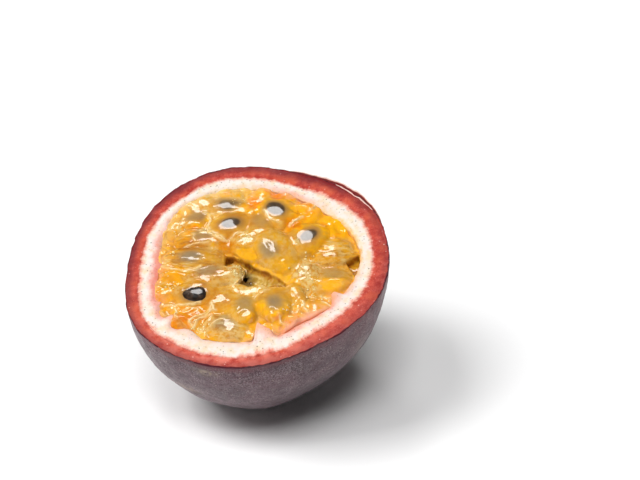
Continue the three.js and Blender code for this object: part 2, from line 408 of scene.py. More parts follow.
# finishes of the pulp
def sacFinish():
    f = Finish("juiceSac", brown="#9c6220", tan="#c0862b", yellow="#d2981c", bright="#eba70a",
               orange="#e87a03", edge="#e0b04c", gap="#cd860e", deep="#a4600a", streak="#8f5b21",
               cloud="#d9c384", shade="#e9c88a", seedGrey="#84745a", seedBrown="#8a6a42",
               seed="#312d29", thread="#e9ce93", pink="#e5a588", cream="#ecd3a0", pitShade="#9c5c12",
               band="#b98420", black="#40260b", froth="#b38b36", frothLight="#dcc078")
    tone = f.plus(f.field("tone"), f.times(f.sway(2.6, 4.0, rough=0.6), 0.9))
    f.base = "brown"
    f.paint(f.step(tone, -0.1, 0.22), "tan")
    f.paint(f.step(tone, 0.2, 0.5), "yellow")
    f.paint(f.step(tone, 0.5, 0.8), "bright")
    f.paint(f.step(tone, 0.85, 1.2), "orange")
    # painted light: sacs lighter and yellower towards their edges, where light shines through the thin gel
    f.paint(f.step(f.field("rim"), 0.62, 0.9, (0.0, 0.4)), "edge")
    # painted shade: deeper orange in the gaps and creases between sacs, partly the juice's own deeper colour
    f.paint(f.times(f.field("gap"), f.patches(1.8, 2.0, 0.3, 0.6, (0.0, 0.5))), "gap")
    creaseShade = f.step(f.field("creaseShade"), 0.2, 1.0)
    f.paint(f.times(creaseShade, f.patches(2.0, 2.0, 0.42, 0.62, (0.0, 0.4))), "deep")

    own = f.field("sacSpace", "Vector")                         # each sac's own frame, mm
    lined = f.step(f.field("ripple"), 0.3, 1.0)
    for tint, amount, size, long, low, high, rough in (
            ("streak", 0.55, 0.9, 0.16, 0.48, 0.66, 0.55), ("cloud", 0.65, 0.6, 0.12, 0.54, 0.68, 0.6)):
        lines = f.patches(size, 3.0, low, high, source=f.scaled(own, (long, 1.0, 1.0)), rough=rough)
        f.paint(f.times(lines, f.times(lined, amount)), tint)
    haze = f.times(f.field("cloud"), f.patches(1.0, 4.0, 0.38, 0.60, rough=0.65))
    f.paint(f.times(haze, 0.8), "cloud")
    f.paint(f.field("shade"), "shade", "MULTIPLY")

    uneven = f.patches(0.9, 3.0, 0.1, 0.5, (0.8, 1.0), source=f.scaled(own, (0.4, 1, 1)))
    f.paint(f.times(f.math("MULTIPLY", f.field("seedBlur"), 1.35, clamp=True), uneven), "seedGrey")
    seedShade = f.field("seedShade")
    seedTone = f.mix(f.step(seedShade, 0.60, 0.84), "seedBrown", "seed")
    f.paint(f.times(f.math("MULTIPLY", seedShade, 1.1, clamp=True), uneven), seedTone)

    f.paint(f.times(f.field("thread"), f.patches(0.8, 3.0, 0.3, 0.55, (0.35, 1.0))), "thread")
    wallPink = f.field("wallPink")
    pinkPatch = f.math("MAXIMUM", f.patches(1.2, 3.0, 0.35, 0.6), f.step(wallPink, 0.5, 0.75))
    f.paint(f.times(wallPink, pinkPatch), "pink")
    f.paint(f.times(f.field("wallCream"), f.patches(1.6, 3.0, 0.25, 0.55)), "cream")
    # painted shade: brown to black on the open middle's walls, under its upper edge, in its pits and in dark
    # spots of its froth
    pitShade = f.field("pitShade")
    brown = f.mix(f.patches(1.4, 3.0, 0.4, 0.6), "pitShade", "band")
    f.paint(f.field("hollow"), f.mix(pitShade, brown, "black"))
    froth = f.mix(f.patches(1.0, 3.0, 0.36, 0.66), "froth", "frothLight")
    froth = f.mix(f.patches(1.5, 2.0, 0.38, 0.30, (0.0, 0.5)), froth, "pitShade")
    f.paint(f.field("froth"), f.mix(pitShade, froth, "black"))
    height = f.plus(f.noise(0.8, 3.0), f.times(f.noise(0.28, 2.0), 0.2))
    f.bump(f.times(height, f.step(f.field("calm"), 0.0, 0.6, (1.0, 0.3))), 0.10, 0.5)
    return f.set(rough=0.2, subsurface=0.35, subsurfaceRadius=(1.0, 0.65, 0.3),
                 subsurfaceScale=0.0010, coat=0.9, coatRough=0.04, coatIor=1.7, ior=1.33)


def juiceFinish():
    f = Finish("juice", amber="#d99519", orange="#e89603", deep="#633e0d", olive="#8f7635")
    f.base = "amber"
    f.paint(f.patches(1.6, 4.0, 0.35, 0.7), "orange")
    # painted shade: darker brown, partly olive, deeper under the open middle
    f.paint(f.step(f.field("pitShade"), 0.15, 0.8), f.mix(f.patches(0.8, 4.0, 0.4, 0.62), "deep", "olive"))
    f.bump(f.noise(0.7, 3.0), 0.2, 0.6)
    return f.set(rough=0.2, subsurface=0.6, subsurfaceRadius=(1.0, 0.45, 0.1),
                 subsurfaceScale=0.0015, coat=1.0, coatRough=0.05)


def seedFinish():
    f = Finish("seed", dark="#17120f", brown="#4a3423")
    f.base = "dark"
    f.paint(f.patches(0.8, 3.0, 0.42, 0.75), "brown")
    f.bump(f.step(f.cells(0.55), 0.0, 0.5), 0.05, 0.4)
    return f.set(rough=0.3, coat=1.0, coatRough=0.06, coatIor=1.6)


def threadFinish():
    f = Finish("thread", cream="#e8cc9a", amber="#dfaf55")
    f.base = "cream"
    f.paint(f.patches(1.2, 3.0, 0.40, 0.62), "amber")
    f.bump(f.noise(0.4, 2.0), 0.06, 0.5)
    return f.set(rough=0.3, coat=0.8, coatRough=0.06, coatIor=1.6)


def bubbleFinish():
    f = Finish("bubble", cream="#ecdba8", amber="#dcba6a")
    f.base = "cream"
    f.paint(f.patches(0.9, 2.0, 0.4, 0.62), "amber")
    f.bump(f.noise(0.3, 2.0), 0.03, 0.4)
    return f.set(rough=0.25, coat=0.8, coatRough=0.15)


skin, flesh, peelLook = skinFinish(), fleshFinish(), peelFinish()
sacLook, juiceLook, seedLook = sacFinish(), juiceFinish(), seedFinish()
threadLook, bubbleLook = threadFinish(), bubbleFinish()
print("finishes made")

# the cut wall, shared by rind and pith
wall = {
    "around": 480,
    "relief": 0.07,                          # unevenness of the cut face
    "edgeRound": 0.22,                       # of the skin's edge
    "lip": (0.08, (45, 24, 0.25)),           # how far the skin stands up all round, and more at an angle
    "lipAt": (0.05, 0.05),                   # where across the red layer, and how broad
    "grooveAt": (0.22, 0.08, 0.35),          # the groove inside it: where, how broad, how deep
    "jitter": (0.13, 0.06),                  # large and small unevenness of the skin's edge
    "nubs": (0.25, 0.4),                     # where small nubs begin, and their reach
    "teeth": {                               # angle: reach and the width to either side, mm
        -86: (4.2, 0.9, 4.3), -71: (0.5, 1.6, 2.0), -48: (0.6, 1.4, 1.8), -30.5: (2.0, 3.0, 0.8),
        -126: (1.2, 2.4, 2.6), -140: (2.0, 1.0, 1.2), -153: (0.8, 1.2, 1.2), 178: (0.7, 1.5, 1.5),
        150: (0.6, 1.0, 1.0)},
    "toothRagged": 0.35,
    "shelf": (-60, 1.7, 9.0, 9.0),           # a broad one, with its angle first
    "teethDeep": 2.4,
    "toothRise": 0.25,
    "ragged": 0.22,                          # of the cavity's edge
    "edgeDown": (0.35, (-55, 30, 0.9)),      # how far the cavity's edge slopes down, and more at an angle
}
angles = np.linspace(0, 2 * math.pi, wall["around"], endpoint=False)
outward = np.stack([np.cos(angles), np.sin(angles), 0 * angles], -1)


def bulgeReach(angle, at, long, before, after):
    off = ((angle - math.radians(at) + math.pi) % (2 * math.pi) - math.pi) * cavityRadius
    off = np.where(off < 0, off / before, off / after)
    return long * np.exp(-np.abs(off) ** 1.7 * 1.6)


def toothReach(angle):
    # how far the white teeth stand into the cavity
    out = bulgeReach(angle, *wall["shelf"])
    for at, size in wall["teeth"].items():
        out = np.maximum(out, bulgeReach(angle, at, *size))
    return out


def toothShare(angle):
    # 1 where a tooth stands well out of the shelf
    return np.clip((toothReach(angle) - bulgeReach(angle, *wall["shelf"])) / 1.5, 0, 1)


def cavityPoints(slope):
    # the cavity's wall with its teeth and ragged edge
    points = borderPoints(cavityInset, whiteWaves, angles, slope)
    ragged = wall["ragged"] * grain(points, 1.6, 2.0, 3)
    ragged = ragged + wall["toothRagged"] * toothShare(angles) * grain(points, 0.8, 9.0, 2)
    reach = (toothReach(angles) + ragged) * math.exp(-(points[0, 2] / wall["teethDeep"]) ** 2)
    return points - outward * reach[:, None]


def edgeJitter(points):
    (large, small), (nubStart, nubReach) = wall["jitter"], wall["nubs"]
    nubs = np.clip(grain(points, 1.5, 15.0) - nubStart, 0, 1)
    return large * grain(points, 2.2, 12.0, 3) + small * grain(points, 0.7, 13.0) + nubReach * nubs


skinEdge = borderPoints(0.0, skinWaves, angles, 0.0)
skinJitter = edgeJitter(skinEdge)


def cutFacePoints(layer):
    redEdge = borderPoints(half["redLayer"], redWaves, angles, 0.0)
    if layer <= 1:
        outer = skinEdge + outward * skinJitter[:, None]
        points = outer + (redEdge - outer) * layer
    else:
        points = redEdge + (cavityPoints(0.0) - redEdge) * (layer - 1)
    points[:, 2] += wall["relief"] * grain(points, 1.1, 4.0, 3)
    low, more = wall["lip"]
    (lipPlace, lipBroad), (groovePlace, grooveBroad, grooveDeep) = wall["lipAt"], wall["grooveAt"]
    groove = grooveDeep * math.exp(-((layer - groovePlace) / grooveBroad) ** 2)
    lip = math.exp(-((layer - lipPlace) / lipBroad) ** 2) - groove
    points[:, 2] += lip * (low + ringHump(angles, *more)) * (0.7 + 0.6 * grain(points, 1.4, 14.0, 2))
    return points


def ringSpace(points):
    angle = np.arctan2(points[:, 1], points[:, 0])
    across = np.hypot(points[:, 0], points[:, 1])
    return np.stack([angle * half["cutRadius"], across, points[:, 2]], -1)


def settle(points, soft):
    # the underside lies flat on the floor
    row = toRow(points)
    low = row[:, 2] * 1000
    low = np.where(low < soft, soft * np.exp((low - soft) / soft), low)
    row[:, 2] = low * 0.001
    return fromRow(row)


def makeRind():
    shape = {"down": 130, "across": 20, "inside": 10, "lumps": 0.30, "dimples": 0.07, "flatSoft": 0.25,
             "jitterDeep": 1.6, "firstLayer": 0.03,
             "scars": [((-15, -21, -13), 3.2, 1.6), ((-9, -26, -2.5), 2.2, 0.8), ((20, -14, -10), 2.0, 3.0)]}
    rings, layers = [], []
    centre = np.array([0, 0, -half["bodyDepth"] * 0.35])
    for i in range(1, shape["down"] + 1):
        slope = math.pi / 2 * (1 - i / shape["down"]) ** 1.15
        ring = borderPoints(0.0, skinWaves, angles, max(slope, 1e-4))
        out = ring - centre
        out /= np.linalg.norm(out, axis=1)[:, None]
        sink = shape["lumps"] * (grain(ring, 9.0, 1.0, 2) - 0.4)
        sink = sink + shape["dimples"] * (grain(ring, 1.3, 3.0, 2) - 0.5)
        ring = ring + out * np.minimum(sink, 0)[:, None]
        fade = math.exp(-(ring[0, 2] / shape["jitterDeep"]) ** 2)
        ring = ring + outward * (skinJitter * fade)[:, None]
        if i == shape["down"]:
            ring[:, 2] -= wall["edgeRound"]
        rings.append(ring)
        layers.append(-0.1)
    for i in range(shape["across"] + 1):
        layer = shape["firstLayer"] + (1 - shape["firstLayer"]) * (i / shape["across"]) ** 1.5
        rings.append(cutFacePoints(layer))
        layers.append(layer)
    for i in range(1, shape["inside"]):
        slope = math.pi / 2 * i / shape["inside"]
        rings.append(borderPoints(half["redLayer"], redWaves, angles, slope))
        layers.append(1.0)
    points = np.concatenate([borderEnd(0.0, skinWaves), *rings, borderEnd(half["redLayer"], redWaves)])
    points = settle(points, shape["flatSoft"])
    faces = stackFaces(len(rings), wall["around"])
    finish = np.where(np.arange(len(faces)) < wall["around"] * shape["down"], 0, 1)
    depth = np.clip(-points[:, 2] / half["bodyDepth"], 0, 1)
    scar = np.zeros(len(points))
    for place, long, high in shape["scars"]:
        scar = np.maximum(scar, np.exp(-(((points - place) / [long, long, high]) ** 2).sum(1)))
    fields = {
        "layer": np.concatenate([[-0.1], np.repeat(layers, wall["around"]), [1.0]]),
        "depth": depth,
        "scar": scar,
        # painted light near the cut at the right
        "litRight": ringShade(points, (0, 40, 0.75)) * np.exp(-(depth / 0.3) ** 2),
        # painted shade low on the front right
        "shadowSide": ringShade(points, (-48, 38, 1.0)) * smoothStep(0.25, 0.6, depth),
        "dusk": 0.45 + ringShade(points, (140, 70, 0.55), (50, 26, 0.4)),
        "soft": ringShade(points, (-100, 50, 0.8)),
    }
    return makeMesh("rindShell", points, faces, [skin, flesh], finish, fields,
                    {"ringSpace": ringSpace(points)})


def makePeel():
    # the thin curled edge that the knife left standing at the upper right
    shape = {"curls": [(74, 19, 0.28, 0.34, 0.12, 0.0), (52, 24, -0.75, 0.26, 0.09, 5.0)],
             "steps": 120, "sides": 10}      # each: angles, outward, height, thickness, random shift
    turn = np.linspace(0, 2 * math.pi, shape["sides"], endpoint=False)
    body = np.sin(math.pi * np.linspace(0, 1, shape["steps"])) ** 0.6
    tubes = []
    for first, last, out, high, thick, shift in shape["curls"]:
        angle = np.radians(np.linspace(first, last, shape["steps"]))
        edge = borderPoints(0.0, skinWaves, angle, 0.0)
        away = np.stack([np.cos(angle), np.sin(angle)], -1)
        stray = grain(edge, 2.6, 21.0 + shift, 2)
        lift = grain(edge, 3.4, 23.0 + shift, 2)
        middle = edge[:, :2] + away * (out * body + 0.22 * stray * body)[:, None]
        top = (high + 0.35 * lift) * body
        rings = []
        for m, a, t, b in zip(middle, away, top, body):
            tall = (0.45 + 0.2 * b) * (0.3 + 0.7 * b)
            reach = thick * (0.4 + 0.6 * b) * np.cos(turn) + 0.25 * np.sin(turn) * b
            rings.append(np.stack([m[0] + a[0] * reach, m[1] + a[1] * reach,
                                   t - tall + tall * np.sin(turn)], -1))
        tubes.append(rings)
    points, faces = joinTubes(tubes, shape["sides"])
    # where the painted highlight lies: the top of each curl
    crestHighlight = np.concatenate([[0], np.tile(np.sin(turn), shape["steps"]), [0]])
    return makeMesh("peel", points, faces, [peelLook], None, {"crestHighlight": np.tile(crestHighlight, len(tubes))})


def makePith():
    shape = {"across": 26, "down": 44, "outside": 10}
    tooth = toothShare(angles)
    low, more = wall["edgeDown"]
    rise = wall["toothRise"] * tooth
    drop = (low + ringHump(angles, *more)) * (1 - tooth)
    rings, layers = [], []
    for i in range(1, shape["outside"]):
        slope = math.pi / 2 * (1 - i / shape["outside"])
        rings.append(borderPoints(half["redLayer"], redWaves, angles, slope))
        layers.append(np.full(len(angles), 1.0))
    for i in range(shape["across"]):
        layer = 1 + i / shape["across"]
        ring = cutFacePoints(layer)
        ring[:, 2] += rise * smoothStep(1.3, 1.9, layer) - drop * smoothStep(1.55, 2.0, layer) ** 2
        rings.append(ring)
        layers.append(np.full(len(angles), layer))
    for i in range(1, shape["down"]):
        ring = cavityPoints(math.pi / 2 * (i / shape["down"]) ** 1.6)
        ring[:, 2] += (rise - drop) * (1 - smoothStep(0, 3.0, -ring[:, 2]))
        rings.append(ring)
        layers.append(2 - ring[:, 2] * 0.1)
    points = np.concatenate([borderEnd(half["redLayer"], redWaves), *rings,
                             borderEnd(cavityInset, whiteWaves)])
    fields = {
        "layer": np.concatenate([[1.0], *layers, [4.0]]),
        "blush": ringShade(points, (186, 42, 1.0), (-55, 34, 0.9), (66, 20, 0.55)),
        "soft": ringShade(points, (-100, 50, 0.8)),
        "salmon": ringShade(points, (-58, 30, 0.9)),
        "stain": 0.1 + ringShade(points, (20, 35, 0.8), (125, 35, 0.5)),
    }
    return makeMesh("pithWall", points, stackFaces(len(rings), wall["around"]), [flesh], None, fields,
                    {"ringSpace": ringSpace(points)})


hold(makeRind(), "rind", "rind")
hold(makePeel(), "rind")
hold(makePith(), "pith", "pith")

# juice sacs: place on the cut, turn, length, width and height of the top, as in the CAD source,
# then how much of the seed shows, the juice's tone (0 tan, 0.5 yellow, 1 orange), cloud, ripples;
# last what only some have: tilt is the lean to the front and to the left, degrees, seedAside how far
# the seed lies off the middle, round the top's roundness, and over reaches out over the open middle
sacRows = [
    (4.8, 14.1, -46, 9.6, 6.6, 0.7, 0.86, 0.30, 0.1, 0.3,
     {"tilt": (-2, 0), "seedAside": (-0.3, 0.2), "seedSize": 1.12}),
    (-6.7, 16.6, -9, 9.6, 5.8, 0.4, 0.80, 0.20, 0.3, 0.4,
     {"seedAside": (1.0, 0.2), "round": 2.5, "seedSize": 1.1}),
    (-5.6, 10.6, 9, 8.4, 6.4, 1.1, 0.86, 0.25, 0.1, 0.4, {"seedAside": (0.5, 0.0)}),
    (11.4, 6.0, 35, 9.4, 7.4, 0.9, 0.84, 0.25, 0.1, 0.4, {"seedAside": (0.2, -0.2)}),
    (4.9, 2.6, -59, 12.4, 7.8, 1.2, 0.58, 0.36, 0.35, 0.2,
     {"tilt": (2, -7), "seedAside": (-1.9, -0.1), "round": 2.8, "seedSize": 1.05}),
    (-12.0, -7.8, -5, 9.4, 6.0, 1.0, 1.00, 0.22, 0.2, 0.4, {"tilt": (2, 0.5), "seedAside": (0.0, -0.7)}),
    (-13.0, 2.2, -9, 11.6, 5.4, 0.9, 0.62, 0.35, 0.2, 1.0, {"tilt": (-5, 0), "seedAside": (-0.2, -0.5)}),
    (-13.0, 13.4, 30, 8.0, 6.4, 0.2, 0.42, 0.12, 0.1, 0.4, {"tilt": (-9, 0)}),
    (0.8, 10.8, -80, 8.6, 5.0, 0.5, 0.28, 0.28, 0.1, 0.3, {"tilt": (-10, 0)}),
    (-11.6, 7.4, 2, 10.2, 5.4, 0.6, 0.42, 0.25, 0.2, 1.0, {"tilt": (-8, 0)}),
    (-1.6, 6.0, 20, 6.4, 5.6, 0.8, 0.10, 0.45, 1.0, 0.6),
    (-9.8, -2.9, -5, 12.0, 5.4, 0.7, 0.42, 0.12, 0.5, 0.7, {"tilt": (-8, 3), "over": True}),
    (-1.9, -13.0, -86, 8.6, 5.8, 1.2, 0.40, 0.35, 0.3, 0.4,
     {"tilt": (-12, 0), "seedAside": (0.3, 0.2), "round": 2.6}),
    (4.4, -11.4, -78, 10.4, 6.8, 0.9, 0.62, 0.30, 0.1, 0.2,
     {"tilt": (-14, 0), "seedAside": (0.3, -1.5), "over": True}),
    (-5.6, -17.2, -14, 9.6, 6.4, 0.6, 0.34, 0.15, 0.6, 1.0, {"tilt": (3, 5)}),
    (16.6, 2.0, 2, 8.8, 7.6, 0.1, 0.00, 0.40, 0.5, 1.0),
    (16.2, -5.4, -25, 8.8, 7.2, -0.1, 0.34, 0.40, 0.4, 0.5, {"tilt": (-12, 4)}),
    (11.4, -4.3, -67, 8.6, 5.4, -0.1, 0.05, 0.18, 1.0, 0.8),
    (16.4, 8.6, -62, 9.0, 5.8, -0.2, 0.00, 0.85, 0.1, 0.4),
    (11.0, 13.4, 50, 8.0, 5.8, 0.0, 0.00, 0.90, 0.1, 0.4),
    (-16.6, -2.8, -39, 7.0, 5.4, 0.1, 0.00, 0.85, 0.2, 0.4),
    (-13.6, -13.6, -42, 8.2, 5.4, 0.2, 0.00, 0.90, 0.1, 0.6),
    (-6.6, -9.6, -20, 8.0, 6.0, 0.5, 0.00, 0.40, 0.3, 0.3),
    (9.6, -12.6, -30, 7.4, 5.0, -0.2, 0.00, 0.75, 0.2, 0.6),
    (-17.4, 11.2, 20, 5.4, 3.9, 0.1, 0.00, 0.60, 0.4, 0.5),
    (-17.4, -8.0, 10, 5.0, 3.6, 0.0, 0.00, 0.85, 0.3, 0.5),
    (0.1, -18.9, -80, 4.5, 3.6, 0.0, 0.00, 0.80, 0.2, 0.4),
    (12.9, -13.4, 50, 5.0, 3.4, -0.3, 0.00, 0.70, 0.3, 0.4),
    (-2.5, 14.7, -30, 5.6, 3.8, 0.2, 0.00, 0.65, 0.3, 0.4),
    (8.7, -9.8, -66, 6.6, 3.6, 0.2, 0.00, 0.30, 0.3, 0.4),
    (0.4, 18.6, 60, 5.6, 4.0, -0.1, 0.00, 0.95, 0.2, 0.4),
    (6.6, 18.2, -40, 5.0, 3.8, -0.2, 0.00, 1.00, 0.1, 0.3),
    (-12.4, 17.4, 10, 5.6, 3.6, 0.0, 0.00, 0.30, 0.5, 0.5),
    (-8.4, 6.2, 0, 5.0, 3.6, 0.3, 0.00, 0.80, 0.3, 0.4),
    (8.6, 10.4, 70, 5.2, 3.6, 0.0, 0.00, 0.90, 0.1, 0.3),
    (-9.6, -12.6, 20, 5.6, 4.2, 0.1, 0.00, 0.90, 0.3, 0.5),
    (-5.0, -3.3, -28, 5.0, 3.6, 0.5, 0.00, 0.20, 1.0, 0.6, {"over": True}),
    (-4.2, -2.2, 70, 3.4, 2.4, 0.6, 0.00, 0.20, 1.0, 0.3, {"over": True}),
    (-1.4, 3.4, -28, 8.0, 4.2, 0.5, 0.00, 0.60, 0.2, 0.3),
    (-3.0, -7.5, -12, 4.8, 3.2, 0.1, 0.00, 0.35, 0.9, 0.4, {"over": True}),
    (0.7, -7.9, 15, 4.6, 2.8, 0.2, 0.00, 0.30, 0.9, 0.4, {"over": True}),
]
sacColumns = ("x", "y", "turn", "length", "width", "top", "seed", "tone", "cloud", "ripple")
sacs = []
for row in sacRows:
    sacs.append(dict(zip(sacColumns, row)))
    for extra in row[len(sacColumns):]:
        sacs[-1].update(extra)

# small pockets of juice along the wall and in the gaps
beads = {
    "tone": (0.55, 1.15), "round": 2.2, "sinkRight": -0.9,
    "wallCount": 34, "wallInset": (1.0, 2.1), "wallLength": (4.0, 6.0), "wallWidth": (2.8, 4.0),
    "wallTop": (-0.35, 0.25),
    "gapCount": 34, "gapReach": 17.5, "gapRoom": 3.0, "gapLength": (3.0, 4.8), "gapWide": 0.75,
    "gapTop": (-0.5, 0.15), "tries": 3000,
    "clear": (1.0, -2.5, 7.5),               # a round place that they leave open
}


def addBeads():
    random = np.random.default_rng(11)
    added = []

    def add(x, y, turn, length, width, top, tone, cloud, ripple):
        added.append({"x": x, "y": y, "turn": turn, "length": length, "width": width, "top": float(top),
                      "seed": 0.0, "tone": tone, "cloud": cloud, "ripple": ripple, "round": beads["round"]})

    for number in range(beads["wallCount"]):
        angle = 2 * math.pi * (number + 0.7 * random.random()) / beads["wallCount"]
        way = np.array([[math.cos(angle), math.sin(angle), 0]])
        x, y, _ = way[0] * float(-wallDistance(1e-6 * way)[0] - random.uniform(*beads["wallInset"]))
        low = beads["sinkRight"] * smoothStep(0.2, 0.9, np.cos(angle - 0.1))
        turn = math.degrees(angle) + random.uniform(-30, 30)
        length, width = random.uniform(*beads["wallLength"]), random.uniform(*beads["wallWidth"])
        top = random.uniform(*beads["wallTop"]) + low
        add(x, y, turn, length, width, top, random.uniform(*beads["tone"]), random.uniform(0, 0.6),
            random.uniform(0.3, 0.9))
    clearX, clearY, clearReach = beads["clear"]
    tries = 0
    while len(added) < beads["wallCount"] + beads["gapCount"] and tries < beads["tries"]:
        tries += 1
        reach = beads["gapReach"] * math.sqrt(random.random())
        angle = random.random() * 2 * math.pi
        x, y = reach * math.cos(angle), reach * math.sin(angle)
        length = random.uniform(*beads["gapLength"])
        tone, cloud = random.uniform(*beads["tone"]), random.uniform(0, 0.5)
        turn, top = random.uniform(0, 180), random.uniform(*beads["gapTop"])
        room = min(math.hypot(x - s["x"], y - s["y"]) for s in sacs + added)
        if room > beads["gapRoom"] and math.hypot(x - clearX, y - clearY) > clearReach:
            low = beads["sinkRight"] * smoothStep(4, 16, x)
            add(x, y, turn, length, length * beads["gapWide"], top + low, tone, cloud, 0.5)
    return added


# the open middle: lines round it in plan (a point, the way out), its floor, and a small dark notch
hollow = {
    "lines": [((-5.8, 3.0), (0.548, 0.836)), ((3.6, -2.5), (0.66, 0.75)), ((7.4, -6.0), (0.96, -0.26)),
              ((0.0, -7.2), (0.03, -1.0)), ((-6.0, 1.2), (-0.98, -0.2))],
    "corner": 0.4,                           # how round the corners between the lines are
    "wedge": [((19.3, -1.0), (-0.526, 0.85)), ((19.3, -1.0), (-0.874, -0.488))],
    "wedgeFloor": -2.4,
    "floor": -3.0,
    "pits": [(-1.7, -1.8, 1.4, 1.3), (-1.0, -3.4, 1.2, 1.2), (-1.7, -5.0, 1.2, 1.2), (6.2, -4.6, 0.9, 1.6)],
    "notch": ((19.2, -11.2, -1.0), (0.6, 0.7, 1.2)),
    "juiceDeep": 6.0,                        # how far the juice under it reaches down
}

# frothy lumps on its floor: place and width
lumps = [(0.2, -1.6, -3.6, 3.4), (2.2, -2.6, -3.6, 3.4), (4.0, -4.2, -3.1, 3.2), (5.3, -5.6, -2.9, 2.6),
         (1.1, -4.2, -4.0, 3.2), (3.0, -5.6, -3.9, 3.2), (4.6, -6.6, -3.6, 2.4), (-1.6, -6.2, -3.8, 3.0),
         (-4.6, 0.4, -2.9, 2.8), (-2.4, -4.4, -3.4, 2.8), (-3.4, -6.2, -3.0, 2.4), (-1.0, -3.0, -4.3, 2.8),
         (-2.2, -0.2, -3.9, 3.0), (-3.2, 1.4, -3.2, 2.6)]
# where the juice is brighter orange between the sacs, a painted glow of light through the juice, partly its
# own colour: place, reach, tone
glows = [(10.3, 13.1, 3.0, 0.95), (-17.0, -2.9, 2.8, 0.78), (-13.6, -15.1, 2.8, 1.0),
         (-13.6, 9.6, 2.2, 1.0), (7.9, -16.4, 3.4, 1.0), (17.4, 8.6, 4.0, 0.85), (16.7, -7.5, 3.2, 0.78),
         (6.6, -1.6, 2.0, 0.6), (-0.6, 2.2, 2.6, 0.62), (1.5, -13.2, 1.6, 0.75), (-17.4, 5.3, 2.4, 0.66),
         (-6.0, 5.2, 1.6, 0.6), (12.6, -14.4, 2.4, 0.8), (3.0, -18.6, 2.0, 0.85), (-0.5, 17.2, 1.8, 1.25),
         (4.8, 18.8, 2.4, 1.2), (-9.6, 13.4, 1.4, 0.9), (8.8, 9.4, 1.6, 1.0), (0.0, -17.0, 1.6, 0.8),
         (-17.6, 13.2, 1.6, 0.6), (13.4, 2.0, 1.6, 0.7), (-15.6, -16.4, 2.2, 1.05),
         (-11.6, -14.4, 1.4, 1.0)]
# where it is pale and cloudy: place, reach, how much
hazes = [(-1.9, 6.2, 2.2, 1.0), (-3.6, -3.0, 2.2, 1.0), (12.0, -3.5, 3.0, 0.95), (11.6, -7.8, 2.2, 0.95),
         (-6.4, -18.2, 2.8, 0.6), (-16.8, -13.8, 1.6, 1.0), (-7.6, -10.7, 1.8, 1.0),
         (-15.1, -7.4, 1.4, 0.8), (-15.6, 11.2, 1.9, 0.9), (-11.0, -17.6, 2.4, 0.6), (-7.0, -6.0, 2.6, 0.4),
         (-8.4, 4.2, 2.4, 0.7), (-3.0, 18.8, 3.0, 0.7), (-11.6, 18.0, 2.4, 0.7), (8.8, -13.6, 1.4, 0.8),
         (-18.8, 1.0, 1.2, 0.7), (8.9, 4.3, 1.3, 0.9), (-2.6, -7.6, 1.8, 0.8), (1.0, -7.8, 1.8, 0.8),
         (-8.2, 13.9, 1.4, 0.9)]
# where the juice is darker: place, reach, how much
shades = [(7.9, 10.1, 2.6, 1.0), (-5.9, 5.3, 3.0, 1.0), (-8.0, -11.0, 3.0, 1.0), (-13.2, 5.5, 4.0, 1.0),
          (-15.4, -16.6, 4.0, 1.0), (-17.0, -3.0, 3.0, 0.6), (-3.4, 12.2, 3.0, 0.6), (-9.0, -2.6, 3.6, 0.6),
          (-14.6, 10.6, 2.6, 0.6), (16.0, -1.5, 5.0, 0.5), (-10.8, -13.2, 4.6, 0.9), (12.6, -9.4, 2.4, 0.4),
          (-17.0, -9.0, 3.0, 0.5)]
# level spots of the wet skin, which catch the light: place, half length, half width, turn
gleams = [(4.0, 2.3, 2.4, 0.6, -62), (4.5, 13.8, 2.1, 1.4, -35), (-5.2, 9.3, 2.1, 1.0, -4),
          (-13.6, 0.1, 2.2, 0.34, 4), (-13.3, -0.9, 2.0, 0.28, 3), (-0.9, -15.4, 1.6, 1.3, 0),
          (-2.6, -13.4, 0.35, 1.0, 0), (4.2, -15.2, 0.6, 1.2, 0), (6.2, -0.7, 0.7, 0.65, 0)]
# smooth spots that lean away from it, where the juice glows
slants = [(-17.2, -3.4, 2.6, 2.0, 10), (-14.4, -15.6, 2.6, 1.7, -40), (16.6, -7.6, 2.6, 1.6, 10),
          (9.8, 14.2, 2.4, 1.4, -20), (18.4, 9.6, 1.5, 2.4, 0), (1.6, -13.4, 0.9, 1.7, 0),
          (-13.6, 9.2, 2.2, 1.0, 10), (7.6, -16.6, 2.4, 1.4, 20), (-2.0, 2.0, 2.2, 1.2, -25)]

